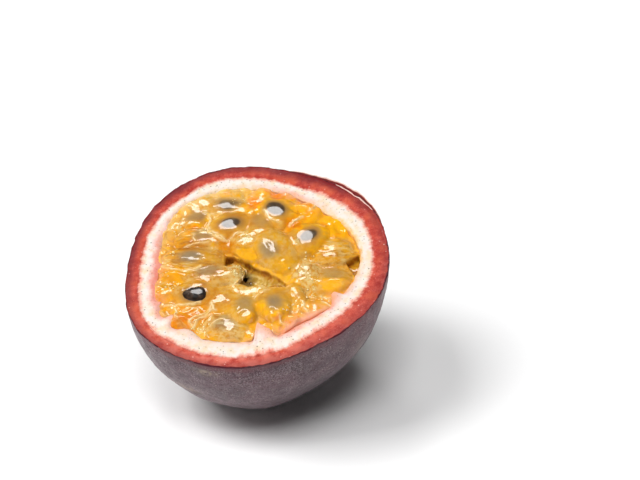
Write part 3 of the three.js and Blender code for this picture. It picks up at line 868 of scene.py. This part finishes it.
pulpShape = {
    "sacThick": 0.85,                        # of the width
    "sacPoint": 0.28,                        # narrowing at the end that faces the wall
    "sacGrow": (1.08, 1.22),                 # pressed against each other
    "sacSquare": (2.4, 3.1),                 # roundness in plan and of the top
    "melt": 0.24,                            # how softly the sacs meet, mm
    "hollowMelt": 0.20,
    "grid": 0.22,
    "low": (-23.4, -23.4, -3.9),             # the grid's corners
    "high": (23.4, 23.4, 2.1),
    "ripple": 0.06,
    "uneven": 0.13,
    "unevenSize": 2.7,
    "threadRise": 0.16,
    "threadReach": 0.30,
    "threadFull": 0.85,                      # both ends' thickness together, of one that shows fully
    "threadSteps": 60,
    "threadWave": 0.3,
    "filmLevel": -0.75,
    "filmRight": -0.8,                       # lower at the right
    "filmBottom": -3.4,
    "filmLeft": 0.45,                        # higher far out at the left
    "filmUneven": 0.22,
    "filmClimb": (0.25, 0.45),               # up the wall: the mean, and how much that varies
    "filmClimbReach": 0.6,
    "blend": 0.16,                           # how softly the looks of neighbouring sacs meet, mm
    "film": {"tone": 0.85, "cloud": 0.15, "ripple": 0.3},
    "intoPith": 0.35,
    "slant": 0.3,                            # slope of the spots that lean away from the light
    "gleamSlope": (0.044, 0.017),            # how the level spots lean, and by how much more for each mm
    "gleamTurn": (0.0022, 0.0012),           # to the right and to the back
    "gleamTop": 0.4,                         # how far up the skin has to face for one
    "gleamSample": 0.5,                      # reach of the points that set its height
    "gleamShift": 1.4,                       # the most that a point moves for it
    "seedAside": (0.5, 0.5),                 # seeds lie off the middle of their sacs
    "seedReach": (3.2, 2.3, 2.6),            # the dark of a seed in its sac
    "seedSunk": 1.2,                         # how far under the top its middle lies
    "seedCrisp": 0.75,                       # a seed that shows more than this has the crisp edge
    "crispEdge": (-0.38, 0.20),
    "softEdge": (-0.45, 0.22),
}


def waver(x, y, size, seed):
    # quick unevenness between about -1 and 1
    out = 0
    for i in range(5):
        way = seed * 1.7 + i * 2.4
        rate = 2 * math.pi / size * (0.7 + 0.27 * i)
        along = x * math.cos(way) + y * math.sin(way)
        out = out + np.sin(rate * along + seed * 3.1 + i * 1.9) / (2.2 + 0.5 * i)
    return out


def pastLine(x, y, line):
    # how far past a line in plan
    (px, py), (ox, oy) = line
    return (x - px) * ox + (y - py) * oy


def wallDistance(points):
    # how far outside the cavity's outline
    angle = np.arctan2(points[:, 1], points[:, 0])
    rim = outline(cavityRadius, whiteWaves, angle)
    return np.hypot(points[:, 0], points[:, 1]) - rim + toothReach(angle)


def hollowDistance(points):
    # below 0 in the open middle, the wedge at the right and the notch
    x, y, z = points.T
    plan = np.full(len(points), -9.0)
    soft = hollow["corner"]
    for line in hollow["lines"]:
        plan = soft * np.logaddexp(plan / soft, pastLine(x, y, line) / soft)
    plan = plan + 0.2 * waver(x, y, 3.2, 1.0)
    floorLevel = hollow["floor"] + 0 * x
    for px, py, reach, deep in hollow["pits"]:
        floorLevel = floorLevel - deep * hump(x, y, px, py, reach)
    middle = np.maximum(plan, floorLevel - z)
    wedge = np.maximum(wallDistance(points) + 0.3, hollow["wedgeFloor"] - z)
    for line in hollow["wedge"]:
        wedge = np.maximum(wedge, pastLine(x, y, line))
    place, size = hollow["notch"]
    notch = (np.linalg.norm((points - place) / size, axis=1) - 1) * min(size)
    return np.minimum(np.minimum(middle, wedge), notch)


def sacFrame(sac):
    # centre, axes and half sizes of a sac; the first axis points to the wall
    turn = math.radians(sac["turn"])
    if math.cos(turn) * sac["x"] + math.sin(turn) * sac["y"] < 0:
        turn += math.pi
    c, s = math.cos(turn), math.sin(turn)
    axes = np.array([[c, s, 0], [-s, c, 0], [0, 0, 1]])
    if "tilt" in sac:
        front, left = (math.radians(a) for a in sac["tilt"])
        axes = axes @ np.array(Matrix.Rotation(front, 3, "X") @ Matrix.Rotation(-left, 3, "Y")).T
    growLong, growWide = pulpShape["sacGrow"]
    thick = sac["width"] * pulpShape["sacThick"]
    size = np.array([sac["length"] * growLong, sac["width"] * growWide, thick]) / 2
    return np.array([sac["x"], sac["y"], sac["top"] - thick / 2]), axes, size


def seedShift(sac):
    return np.array(sac.get("seedAside", pulpShape["seedAside"]))


def sacDistance(sac, points):
    # about how far outside the sac's skin, its own coordinates, and 0 to 1 from its middle to its edge
    centre, axes, size = sacFrame(sac)
    own = (points - centre) @ axes.T
    narrow = 1 - pulpShape["sacPoint"] * np.clip(own[:, 0] / size[0], 0, 1)
    u, w = np.abs(own[:, 0] / size[0]), np.abs(own[:, 2] / size[2])
    v = np.abs(own[:, 1] / (size[1] * narrow))
    flat, tall = pulpShape["sacSquare"]
    tall = sac.get("round", tall)
    plan = (u ** flat + v ** flat) ** (1 / flat)
    whole = (plan ** tall + w ** tall) ** (1 / tall)
    slope = np.sqrt((u / size[0]) ** 2 + (v / size[1]) ** 2 + (w / size[2]) ** 2) / np.maximum(whole, 0.05)
    return (whole - 1) / np.maximum(slope, 0.12), own, plan


def filmHeight(points):
    # height of the juice between the sacs; it climbs the wall here and there
    x, y = points[:, 0], points[:, 1]
    level = pulpShape["filmLevel"] + pulpShape["filmRight"] * smoothStep(2, 16, x * 0.9 - y * 0.15)
    level = level + pulpShape["filmLeft"] * smoothStep(9, 18, np.hypot(x + 8, y - 6)) * smoothStep(6, -6, x)
    level = level + pulpShape["filmUneven"] * waver(x, y, 3.0, 2.0)
    mean, varies = pulpShape["filmClimb"]
    climb = np.clip(mean + varies * waver(x, y, 5.0, 3.0), -0.3, 0.8)
    return level + climb * np.exp(-np.abs(wallDistance(points)) / pulpShape["filmClimbReach"])


def pulpField(points):
    # below 0 inside the sacs and the juice between them
    near = 2.0
    x, y, z = points.T
    melt, soft = pulpShape["melt"], pulpShape["hollowMelt"]
    total, over = np.zeros(len(points)), np.zeros(len(points))
    for sac in sacs:
        centre, axes, size = sacFrame(sac)
        reach = np.array([max(size[:2]), max(size[:2]), size[2]]) + near
        close = np.nonzero((np.abs(points - centre) < reach).all(1))[0]
        held = over if "over" in sac else total
        held[close] += np.exp(-sacDistance(sac, points[close])[0] / melt)
    total += np.exp(-np.clip(z - filmHeight(points), -3, 3) / melt)
    out = -melt * np.log(np.maximum(total, 1e-9))
    out = soft * np.logaddexp(out / soft, -hollowDistance(points) / soft)
    froth = 0.14 * waver(x, y, 2.2, 4.0) + 0.05 * waver(x, z, 1.2, 5.0)
    for *place, wide in lumps:
        away = np.linalg.norm(points - place, axis=1) - wide / 2 - froth
        over += np.exp(-np.clip(away, -3, 3) / melt)
    out = -melt * np.log(np.maximum(np.exp(-np.clip(out, -3, 9) / melt) + over, 1e-9))
    out = np.maximum(out, wallDistance(points) - pulpShape["intoPith"])
    return np.maximum(out, pulpShape["filmBottom"] - z)


sacs += addBeads()
print("sacs laid out:", len(sacs))


def surfaceNet(field, low, high, step):
    # a closed mesh where the field crosses 0, one point in each crossed cell
    counts = [int(round((b - a) / step)) + 1 for a, b in zip(low, high)]
    axesGrid = np.meshgrid(*[a + step * np.arange(n) for a, n in zip(low, counts)], indexing="ij")
    values = field(np.stack([g.ravel() for g in axesGrid], -1)).reshape(counts)
    cells = [n - 1 for n in counts]
    total, crossings = np.zeros(cells + [3]), np.zeros(cells)
    edges = []
    for axis in range(3):
        a, b = np.delete(values, -1, axis), np.delete(values, 0, axis)
        crossed = (a < 0) != (b < 0)
        at = np.stack(np.meshgrid(*[np.arange(n) for n in a.shape], indexing="ij"), -1).astype(float)
        at[..., axis] += np.where(crossed, a / np.where(crossed, a - b, 1), 0)
        others = [i for i in range(3) if i != axis]
        for i in (0, 1):
            for j in (0, 1):
                part = [slice(None)] * 3
                part[others[0]] = slice(i, i + cells[others[0]])
                part[others[1]] = slice(j, j + cells[others[1]])
                hit = crossed[tuple(part)]
                total += np.where(hit[..., None], at[tuple(part)], 0)
                crossings += hit
        edges.append((axis, others, np.argwhere(crossed), a[crossed] < 0))
    used = crossings > 0
    number = np.cumsum(used.ravel()).reshape(used.shape) - 1
    points = total[used] / crossings[used][:, None] * step + np.array(low)
    faces = []
    for axis, others, at, inside in edges:
        corners = []
        for i, j in ((-1, -1), (0, -1), (0, 0), (-1, 0)):
            cell = at.copy()
            cell[:, others[0]] += i
            cell[:, others[1]] += j
            corners.append(number[tuple(cell.T)])
        quads = np.stack(corners, -1)
        turned = inside if axis != 1 else ~inside
        quads[~turned] = quads[~turned][:, ::-1]
        faces.append(quads)
    return points, np.concatenate(faces)


def settleSkin(points):
    # brings the points onto the field; gives back the points and the way out at each
    nudge = 0.03                             # mm, to measure the field's slope
    for _ in range(2):
        value = pulpField(points)
        slope = np.stack([pulpField(points + nudge * np.eye(3)[i]) - value for i in range(3)], -1) / nudge
        move = slope * (value / np.maximum((slope ** 2).sum(1), 0.3))[:, None]
        points = points - np.clip(move, -0.1, 0.1)
    return points, slope / np.maximum(np.linalg.norm(slope, axis=1), 1e-6)[:, None]


def levelSpots(points, normals, spots, extraSlope):
    # makes the skin flat at some spots; gives back the points and how flat each is
    points = points.copy()
    share = np.zeros(len(points))
    top = normals[:, 2] > pulpShape["gleamTop"]
    for x, y, long, wide, turn in spots:
        dx, dy = points[:, 0] - x, points[:, 1] - y
        c, s = math.cos(math.radians(turn)), math.sin(math.radians(turn))
        u, v = (dx * c + dy * s) / long, (dy * c - dx * s) / wide
        level = np.median(points[top & (np.hypot(dx, dy) < pulpShape["gleamSample"]), 2])
        slopes = [a + b * p for a, b, p in zip(pulpShape["gleamSlope"], pulpShape["gleamTurn"], (x, y))]
        change = level + slopes[0] * dx + (slopes[1] + extraSlope) * dy - points[:, 2]
        weight = np.exp(-(u * u + v * v) ** 2) * top * (np.abs(change) < pulpShape["gleamShift"])
        points[:, 2] += weight * change
        share = np.maximum(share, weight)
    return points, share


def seedShades(sac, own):
    # how the seed darkens its sac: a crisp shade, or a soft one for a seed that lies deeper
    centre, axes, size = sacFrame(sac)
    place = axes[:, :2] @ seedShift(sac) + [0, 0, size[2] - pulpShape["seedSunk"]]
    reach = np.array(pulpShape["seedReach"]) * sac.get("seedSize", 1.0)
    gap = np.linalg.norm((own - place) / reach, axis=1) - 1
    crisp = sac["seed"] > pulpShape["seedCrisp"]
    edge = pulpShape["crispEdge"] if crisp else pulpShape["softEdge"]
    shade = sac["seed"] * (1 - smoothStep(*edge, gap))
    return shade * crisp, shade * (not crisp)


def blendSacs(points):
    # what each point takes from the sacs round it, its place in its own sac, and how far it is
    # outside the nearest sac and the second
    count = len(points)
    weights, nearest, second = np.zeros(count), np.full(count, 9.0), np.full(count, 9.0)
    fields = {key: np.zeros(count) for key in ("tone", "cloud", "seedShade", "seedBlur", "ripple", "rim")}
    own = points.copy()
    for number, sac in enumerate([pulpShape["film"]] + sacs):
        if number:
            away, q, plan = sacDistance(sac, points)
            crispShade, softShade = seedShades(sac, q)
        else:
            away, q, plan = np.abs(points[:, 2] - filmHeight(points)) + 0.05, points, 1.0
            crispShade, softShade = 0.0, 0.0
        weight = np.exp(-np.clip(away, -1, 4) / pulpShape["blend"])
        for key, value in (("tone", sac["tone"]), ("cloud", sac["cloud"]), ("seedShade", crispShade),
                           ("seedBlur", softShade), ("ripple", sac["ripple"]), ("rim", plan)):
            fields[key] += weight * value
        weights += weight
        closer = away < nearest
        second = np.where(closer, nearest, np.minimum(second, away))
        nearest = np.where(closer, away, nearest)
        own = np.where(closer[:, None], q + [number * 13.7, number * 5.3, 0], own)
    for key in fields:
        fields[key] /= np.maximum(weights, 1e-6)
    return fields, own, nearest, second


def strongest(spots, x, y, uneven):
    return np.max([amount * hump(x, y, px, py, reach * uneven) for px, py, reach, amount in spots], axis=0)


def makeSacs():
    # the sacs and the juice between them as one closed wet skin, with what each point shows
    points, faces = surfaceNet(pulpField, pulpShape["low"], pulpShape["high"], pulpShape["grid"])
    points, normals = settleSkin(points)
    print("sac skin:", len(points), "points")
    fields, own, nearest, second = blendSacs(points)
    points, flat = levelSpots(points, normals, slants, pulpShape["slant"])
    points, calm = levelSpots(points, normals, gleams, 0.0)
    calm = np.maximum(np.maximum(calm, 0.8 * flat), 1.2 * (fields["seedShade"] + fields["seedBlur"]))
    fields["calm"] = np.clip(calm, 0, 1)

    x, y, z = points.T
    swell = np.zeros(len(points))
    uneven = 1 + 0.35 * waver(x, y, 2.4, 6.0)
    seedless = 1 - np.minimum(1, fields["seedShade"] + 1.3 * fields["seedBlur"])
    for px, py, reach, tone in glows:
        strength = np.clip(1.3 * hump(x, y, px, py, reach * uneven), 0, 1) * seedless
        swell = np.maximum(swell, strength)
        fields["tone"] += (tone - fields["tone"]) * strength
        fields["cloud"] *= 1 - 0.8 * strength
        fields["rim"] *= 1 - 0.8 * strength
    fields["cloud"] = np.maximum(fields["cloud"], strongest(hazes, x, y, uneven))
    fields["shade"] = strongest(shades, x, y, uneven) * (1 - 0.6 * fields["calm"])

    lump = np.min([np.linalg.norm(points - place, axis=1) - wide / 2 for *place, wide in lumps], axis=0)
    fields["froth"] = smoothStep(0.25, -0.1, lump - nearest) * smoothStep(-1.2, -1.9, z)
    # painted shade on the walls of the open middle and its notches, below the top
    fields["hollow"] = smoothStep(0.35, 0.05, hollowDistance(points)) * smoothStep(0.1, -1.0, z)
    # painted shadow under the upper edge of the open middle
    inside = -np.maximum(pastLine(x, y, hollow["lines"][0]), pastLine(x, y, hollow["lines"][1]))
    under = smoothStep(1.3, 0.3, inside + 0.3 * waver(x, y, 2.0, 7.0)) * (fields["froth"] > 0)
    fields["hollow"] = np.maximum(fields["hollow"], under)
    fields["froth"] *= 1 - 0.9 * under
    # painted shade in the pits of its floor
    pits = sum(hump(x, y, px, py, 0.7 * reach * uneven) for px, py, reach, deep in hollow["pits"])
    fields["pitShade"] = pits * smoothStep(-0.6, -1.6, z)

    # painted shade between the sacs, where the nearest two meet
    fields["creaseShade"] = 1 - smoothStep(0.0, 0.25, second - nearest)
    fields["gap"] = 1 - smoothStep(0.0, 0.8, second - nearest)
    fields["thread"] = threadShade(points)
    inward = np.clip(-wallDistance(points), 0, 9)
    pinkRound = ringShade(points, (-58, 30, 1.0), (190, 35, 0.45), (66, 20, 0.7))
    fields["wallPink"] = np.exp(-inward / 1.3) * pinkRound
    fields["wallCream"] = np.exp(-inward / 1.5) * ringShade(points, (125, 38, 0.5))
    ripple = grain(own * [0.25, 1, 1], 1.3, 5.0, 2) * fields["ripple"] * (1 - 0.6 * swell)
    uneven = (1 + 0.8 * swell) * grain(points, pulpShape["unevenSize"], 6.0, 2)
    raised = pulpShape["ripple"] * ripple + pulpShape["uneven"] * uneven
    raised = raised * (1 - 0.85 * fields["calm"]) + pulpShape["threadRise"] * fields["thread"]
    points = points + normals * raised[:, None]
    return makeMesh("juiceSacs", points, faces.tolist(), [sacLook], None, fields, {"sacSpace": own})


def pitDepth(points):
    # how far the juice under the open middle reaches down
    plan = np.max([pastLine(points[:, 0], points[:, 1], line) for line in hollow["lines"]], axis=0)
    return hollow["juiceDeep"] * smoothStep(0.5, -2.0, np.maximum(plan, -9.0))


def makeJuice():
    # the juice under the sacs, down to the pith, with the open middle's floor
    shape = {"around": 240, "across": 80, "down": 14, "top": -2.6}
    turn = np.linspace(0, 2 * math.pi, shape["around"], endpoint=False)
    rings = []
    for i in range(1, shape["down"]):
        rings.append(borderPoints(cavityInset, whiteWaves, turn, math.pi / 2 * (1 - i / shape["down"])))
    rings = [ring for ring in rings if ring[0, 2] < shape["top"] - 0.4]
    rim = borderPoints(cavityInset, whiteWaves, turn, 0.08)
    for i in range(shape["across"], 0, -1):
        share = i / shape["across"]
        ring = rim * share
        ring[:, 2] = shape["top"] + 0.6 * grain(ring, 2.0, 8.0, 3) * (1 - share ** 6)
        ring[:, 2] -= pitDepth(ring)
        rings.append(ring)
    last = np.array([[0.0, 0.0, shape["top"]]])
    last[:, 2] -= pitDepth(last)
    points = np.concatenate([borderEnd(cavityInset, whiteWaves), *rings, last])
    # how much painted shade: more where deeper under the open middle
    pitShade = np.where(points[:, 2] > -12, np.clip(pitDepth(points) / 3, 0, 1), 0)
    faces = stackFaces(len(rings), shape["around"])
    return makeMesh("juiceCore", points, faces, [juiceLook], None, {"pitShade": pitShade})


def makeSeeds():
    shape = {"size": (5.6, 3.9, 2.2), "flat": 0.75, "bareFlat": 0.3, "rough": 0.06, "bareRough": 0.04,
             "taper": 0.22, "shows": 0.95, "proud": 0.12, "sunk": -0.6}
    ball, ballFaces = ballPoints(24, 36)
    bodies = []
    for number, sac in enumerate(s for s in sacs if s["seed"] > 0.3):
        centre, axes, size = sacFrame(sac)
        bare = sac["seed"] > shape["shows"]
        flat = shape["bareFlat"] if bare else shape["flat"]
        rough = shape["bareRough"] if bare else shape["rough"]
        rise = shape["proud"] if bare else shape["sunk"]
        body = ball.copy()
        body[:, 1:] *= (1 - shape["taper"] * np.clip(ball[:, 0], -1, 1))[:, None]
        body[:, 2] = np.sign(body[:, 2]) * np.abs(body[:, 2]) ** flat
        body *= np.array(shape["size"]) / 2
        body *= 1 + 0.03 * grain(body, 0.9, number + 30.0)[:, None]
        body += ball * (rough * grain(body * [0.3, 1, 1], 0.8, number + 50.0, 2))[:, None]
        place = centre + [0, 0, size[2] - shape["size"][2] / 2 + rise]
        bodies.append(body @ axes + place + [*seedShift(sac), 0])
    points, faces = joinBodies(bodies, ballFaces)
    return makeMesh("seeds", points, faces, [seedLook])


# cream threads of membrane on the wet surface: points on the cut, thickness at both ends
threadPaths = [
    ([(-11.1, 15.2), (-9.9, 13.9), (-9.7, 12.2), (-10.2, 10.6)], 0.40, 0.75),
    ([(-11.6, 9.6), (-10.5, 10.2), (-9.9, 9.3), (-8.2, 8.2), (-5.8, 6.2)], 0.65, 0.30),
    ([(-11.1, 15.2), (-9.4, 14.4), (-7.4, 14.5)], 0.42, 0.25),
    ([(-14.9, 5.0), (-12.4, 5.7), (-9.7, 5.9)], 0.22, 0.30),
    ([(-13.2, 8.8), (-12.9, 7.5), (-12.5, 6.3)], 0.22, 0.18),
    ([(-20.0, 0.8), (-17.6, -0.6), (-15.1, -1.3), (-12.9, -1.4), (-11.1, -0.9)], 0.60, 0.30),
    ([(-11.5, 9.0), (-10.1, 9.0), (-8.7, 7.7), (-6.4, 6.2)], 0.55, 0.25),
    ([(-10.0, 10.6), (-9.5, 9.6), (-8.8, 8.6)], 0.40, 0.30),
    ([(-18.2, -10.6), (-15.6, -10.6), (-13.4, -11.0), (-10.8, -10.6)], 0.50, 0.25),
    ([(-8.2, -11.2), (-8.8, -12.6), (-9.9, -13.6), (-11.2, -14.0), (-12.2, -14.6), (-12.7, -15.6),
      (-12.2, -16.4)], 0.55, 0.20),
    ([(-7.9, -12.2), (-8.7, -12.9), (-9.4, -14.2), (-10.7, -14.5), (-11.4, -15.6),
      (-11.9, -16.9)], 0.45, 0.22),
    ([(-8.5, -11.0), (-8.0, -11.9), (-7.5, -12.9)], 0.60, 0.30),
    ([(-14.2, -12.3), (-12.6, -11.6), (-11.2, -12.1), (-11.5, -12.9), (-12.9, -13.4)], 0.22, 0.18),
    ([(-15.9, -11.7), (-15.6, -12.8), (-15.9, -13.7), (-15.2, -14.5)], 0.45, 0.20),
    ([(-10.2, -18.2), (-9.0, -15.6), (-8.2, -14.0)], 0.30, 0.22),
    ([(2.0, 14.3), (2.6, 12.6), (3.7, 11.3), (5.5, 10.4)], 0.24, 0.34),
    ([(7.5, 9.6), (8.8, 11.0), (10.2, 11.9)], 0.50, 0.36),
    ([(11.6, 13.6), (12.6, 14.6), (12.8, 15.8)], 0.34, 0.26),
    ([(-5.4, 6.6), (-3.9, 7.6), (-2.6, 7.9)], 0.26, 0.22),
    ([(-9.4, -19.1), (-8.6, -17.2), (-7.2, -15.9), (-5.6, -15.4)], 0.20, 0.22),
    ([(-1.9, -2.4), (-2.5, -4.3), (-4.3, -6.4)], 0.40, 0.34),
    ([(-4.9, 0.2), (-3.1, 0.5), (-2.0, -0.6), (-1.9, -2.2)], 0.30, 0.42),
    ([(10.4, -11.8), (10.8, -13.4), (11.6, -14.6)], 0.62, 0.36),
    ([(5.6, -15.6), (6.0, -16.8), (7.4, -17.6)], 0.30, 0.24),
    ([(0.4, -10.4), (1.2, -9.2), (3.4, -8.0)], 0.22, 0.20),
    ([(14.4, -11.6), (15.8, -12.4), (17.6, -12.6)], 0.40, 0.30),
    ([(13.8, -9.6), (15.6, -10.4), (17.6, -10.6)], 0.26, 0.22),
]
# froth: place on the cut, reach, how many bubbles, largest radius
frothSpots = [((11.4, -2.6), 1.5, 9, 0.28), ((11.8, -5.4), 1.7, 10, 0.26), ((12.4, -9.0), 1.8, 12, 0.28),
              ((11.6, 0.6), 1.2, 12, 0.24), ((-16.9, -5.6), 1.9, 20, 0.20), ((-18.2, -2.6), 1.2, 8, 0.20),
              ((-10.8, -17.4), 2.4, 34, 0.24), ((-1.9, 6.4), 1.1, 14, 0.24), ((-16.6, 10.8), 1.6, 18, 0.22),
              ((-3.6, -2.6), 1.7, 26, 0.22), ((-16.8, 3.4), 1.2, 10, 0.20), ((8.6, -14.6), 2.4, 16, 0.24),
              ((8.8, 4.3), 1.0, 10, 0.20), ((-3.2, 17.8), 1.8, 8, 0.20), ((15.4, -10.6), 1.4, 8, 0.20),
              ((7.4, -2.4), 0.2, 2, 0.30)]


def smoothPath(corners, count):
    # a smooth curve through the corners
    corners = np.array([corners[0], *corners, corners[-1]], float)
    out = []
    for t in np.linspace(0, len(corners) - 3 - 1e-6, count):
        i = int(t)
        s = t - i
        a, b, c, d = corners[i:i + 4]
        bend = (2 * a - 5 * b + 4 * c - d) * s ** 2 + (3 * b - a - 3 * c + d) * s ** 3
        out.append(0.5 * (2 * b + (c - a) * s + bend))
    return np.array(out)


def threadLine(number, corners, steps):
    # a thread's wavy course on the cut
    path = smoothPath(corners, steps)
    share = np.linspace(0, 1, steps)
    flat = np.column_stack([path, np.zeros(steps)])
    sway = np.stack([grain(flat, 1.3, number + 40.0, 2), grain(flat, 1.3, number + 60.0, 2)], -1)
    return path + pulpShape["threadWave"] * sway * np.sin(math.pi * share)[:, None] ** 0.5


def threadShade(points):
    # 1 on the threads, falling off beside them
    steps = pulpShape["threadSteps"]
    tree = KDTree(steps * len(threadPaths))
    for number, (corners, *thick) in enumerate(threadPaths):
        for x, y in threadLine(number, corners, steps):
            tree.insert((x, y, 0), number)
    tree.balance()
    strength = [min(1.0, sum(thick) / pulpShape["threadFull"]) for corners, *thick in threadPaths]
    out = np.zeros(len(points))
    for i in np.nonzero(points[:, 2] > -2.4)[0]:
        _, number, away = tree.find((points[i, 0], points[i, 1], 0))
        out[i] = strength[number] * math.exp(-(away / pulpShape["threadReach"]) ** 2)
    return out


def topFinder(piece):
    # gives the height of a piece's upper side at a place on the cut
    co = np.zeros(len(piece.data.vertices) * 3)
    piece.data.vertices.foreach_get("co", co)
    points = fromRow(co.reshape(-1, 3))
    points = points[points[:, 2] > -2.6]
    tree = KDTree(len(points))
    for i, p in enumerate(points):
        tree.insert((p[0], p[1], 0), i)
    tree.balance()

    def heightAt(x, y):
        return max(points[i, 2] for _, i, _ in tree.find_n((x, y, 0), 4))
    return heightAt


def makeThreads(heightAt):
    shape = {"sides": 8, "sunk": 0.35, "flat": 0.6, "wide": 1.25, "share": 0.62}
    turn = np.linspace(0, 2 * math.pi, shape["sides"], endpoint=False)
    share = np.linspace(0, 1, pulpShape["threadSteps"])
    tubes = []
    for number, (corners, *thick) in enumerate(threadPaths):
        path = threadLine(number, corners, pulpShape["threadSteps"])
        flat = np.column_stack([path, np.zeros(len(path))])
        high = np.array([heightAt(x, y) for x, y in path])
        high = np.convolve(np.pad(high, 2, mode="edge"), [0.1, 0.2, 0.4, 0.2, 0.1], mode="valid")
        along = np.gradient(path, axis=0)
        side = np.stack([-along[:, 1], along[:, 0]], -1) / np.linalg.norm(along, axis=1)[:, None]
        radius = (thick[0] + (thick[1] - thick[0]) * share) / 2 * shape["share"]
        radius = radius * np.sin(0.1 + 2.94 * share) ** 0.5
        radius = radius * np.clip(1 + 0.9 * grain(flat, 0.9, number + 80.0, 2), 0.35, 1.9)
        rings = []
        for p, z, n, r in zip(path, high - shape["sunk"] * radius, side, radius):
            wide, tall = r * shape["wide"] * np.cos(turn), r * shape["flat"] * np.sin(turn)
            rings.append(np.stack([p[0] + n[0] * wide, p[1] + n[1] * wide, z + tall], -1))
        tubes.append(rings)
    points, faces = joinTubes(tubes, shape["sides"])
    return makeMesh("threads", points, faces, [threadLook])


def makeBubbles(heightAt):
    random = np.random.default_rng(5)
    ball, ballFaces = ballPoints(6, 9)
    bodies = []
    for (x, y), reach, count, largest in frothSpots:
        for number in range(count):
            angle, away = random.random() * 2 * math.pi, reach * random.random() ** 0.7
            radius = largest * random.uniform(0.35, 1.0)
            px, py = x + away * math.cos(angle), y + away * math.sin(angle)
            if wallDistance(np.array([[px, py, 0.0]]))[0] <= -0.2:
                bodies.append(ball * radius + [px, py, heightAt(px, py) - 0.45 * radius])
    points, faces = joinBodies(bodies, ballFaces)
    return makeMesh("bubbles", points, faces, [bubbleLook])


sacPiece = hold(makeSacs(), "pulp", "pulp")
hold(makeJuice(), "pulp", "pulp")
hold(makeSeeds(), "seed")
topOf = topFinder(sacPiece)
hold(makeThreads(topOf), "pith")
hold(makeBubbles(topOf), "pulp")

# floor and light
studio = {
    "floorWide": 8.0,
    "floorWhite": 0.92,
    "worldLow": 1.0,                         # white near the horizon, nearly dark overhead
    "worldHigh": 0.03,
    "worldBand": 0.22,
    "lights": {                              # direction, distance, size, brightness
        "backSoftbox": ((-0.20, 0.44, 0.87), 2.0, 0.42, 6.5),
        "keySoftbox": ((-0.58, -0.12, 0.80), 2.0, 0.9, 13.4),
        "sideSoftbox": ((-0.80, -0.30, 0.50), 2.0, 0.7, 1.8),
        "frontSoftbox": ((0.0, -0.35, 0.94), 2.0, 0.9, 10.3),
    },
}
floorMesh = bpy.data.meshes.new("floor")
wide = studio["floorWide"] / 2
corners = [(-wide, -wide, 0), (wide, -wide, 0), (wide, wide, 0), (-wide, wide, 0)]
floorMesh.from_pydata(corners, [], [(0, 1, 2, 3)])
floorLook = Finish("paleFloor")
floorLook.base = (studio["floorWhite"],) * 3 + (1,)
floorMesh.materials.append(floorLook.set(rough=0.5))
floor = bpy.data.objects.new("floor", floorMesh)
bpy.context.collection.objects.link(floor)

target = Vector(cutCentre * 0.001)
for name, (direction, distance, size, brightness) in studio["lights"].items():
    data = bpy.data.lights.new(name, "AREA")
    data.shape = "SQUARE"
    data.size = size
    data.energy = brightness * math.pi * size ** 2
    lamp = bpy.data.objects.new(name, data)
    lamp.location = target + Vector(direction).normalized() * distance
    lamp.rotation_euler = (target - lamp.location).to_track_quat("-Z", "Y").to_euler()
    lamp.visible_glossy = name == "backSoftbox"
    bpy.context.collection.objects.link(lamp)

world = bpy.data.worlds.new("studio")
bpy.context.scene.world = world
world.use_nodes = True
nodes, links = world.node_tree.nodes, world.node_tree.links
around = nodes.new("ShaderNodeTexCoord")
height = nodes.new("ShaderNodeSeparateXYZ")
fade = nodes.new("ShaderNodeMapRange")
links.new(around.outputs["Generated"], height.inputs[0])
links.new(height.outputs["Z"], fade.inputs["Value"])
for socket, number in (("From Min", 0.0), ("From Max", studio["worldBand"]),
                       ("To Min", studio["worldLow"]), ("To Max", studio["worldHigh"])):
    fade.inputs[socket].default_value = number
links.new(fade.outputs[0], nodes["Background"].inputs["Strength"])
nodes["Background"].inputs["Color"].default_value = (1, 1, 1, 1)
bpy.context.scene.view_settings.view_transform = "Standard"
bpy.context.scene.cycles.use_denoising = True
print("floor and lights placed")
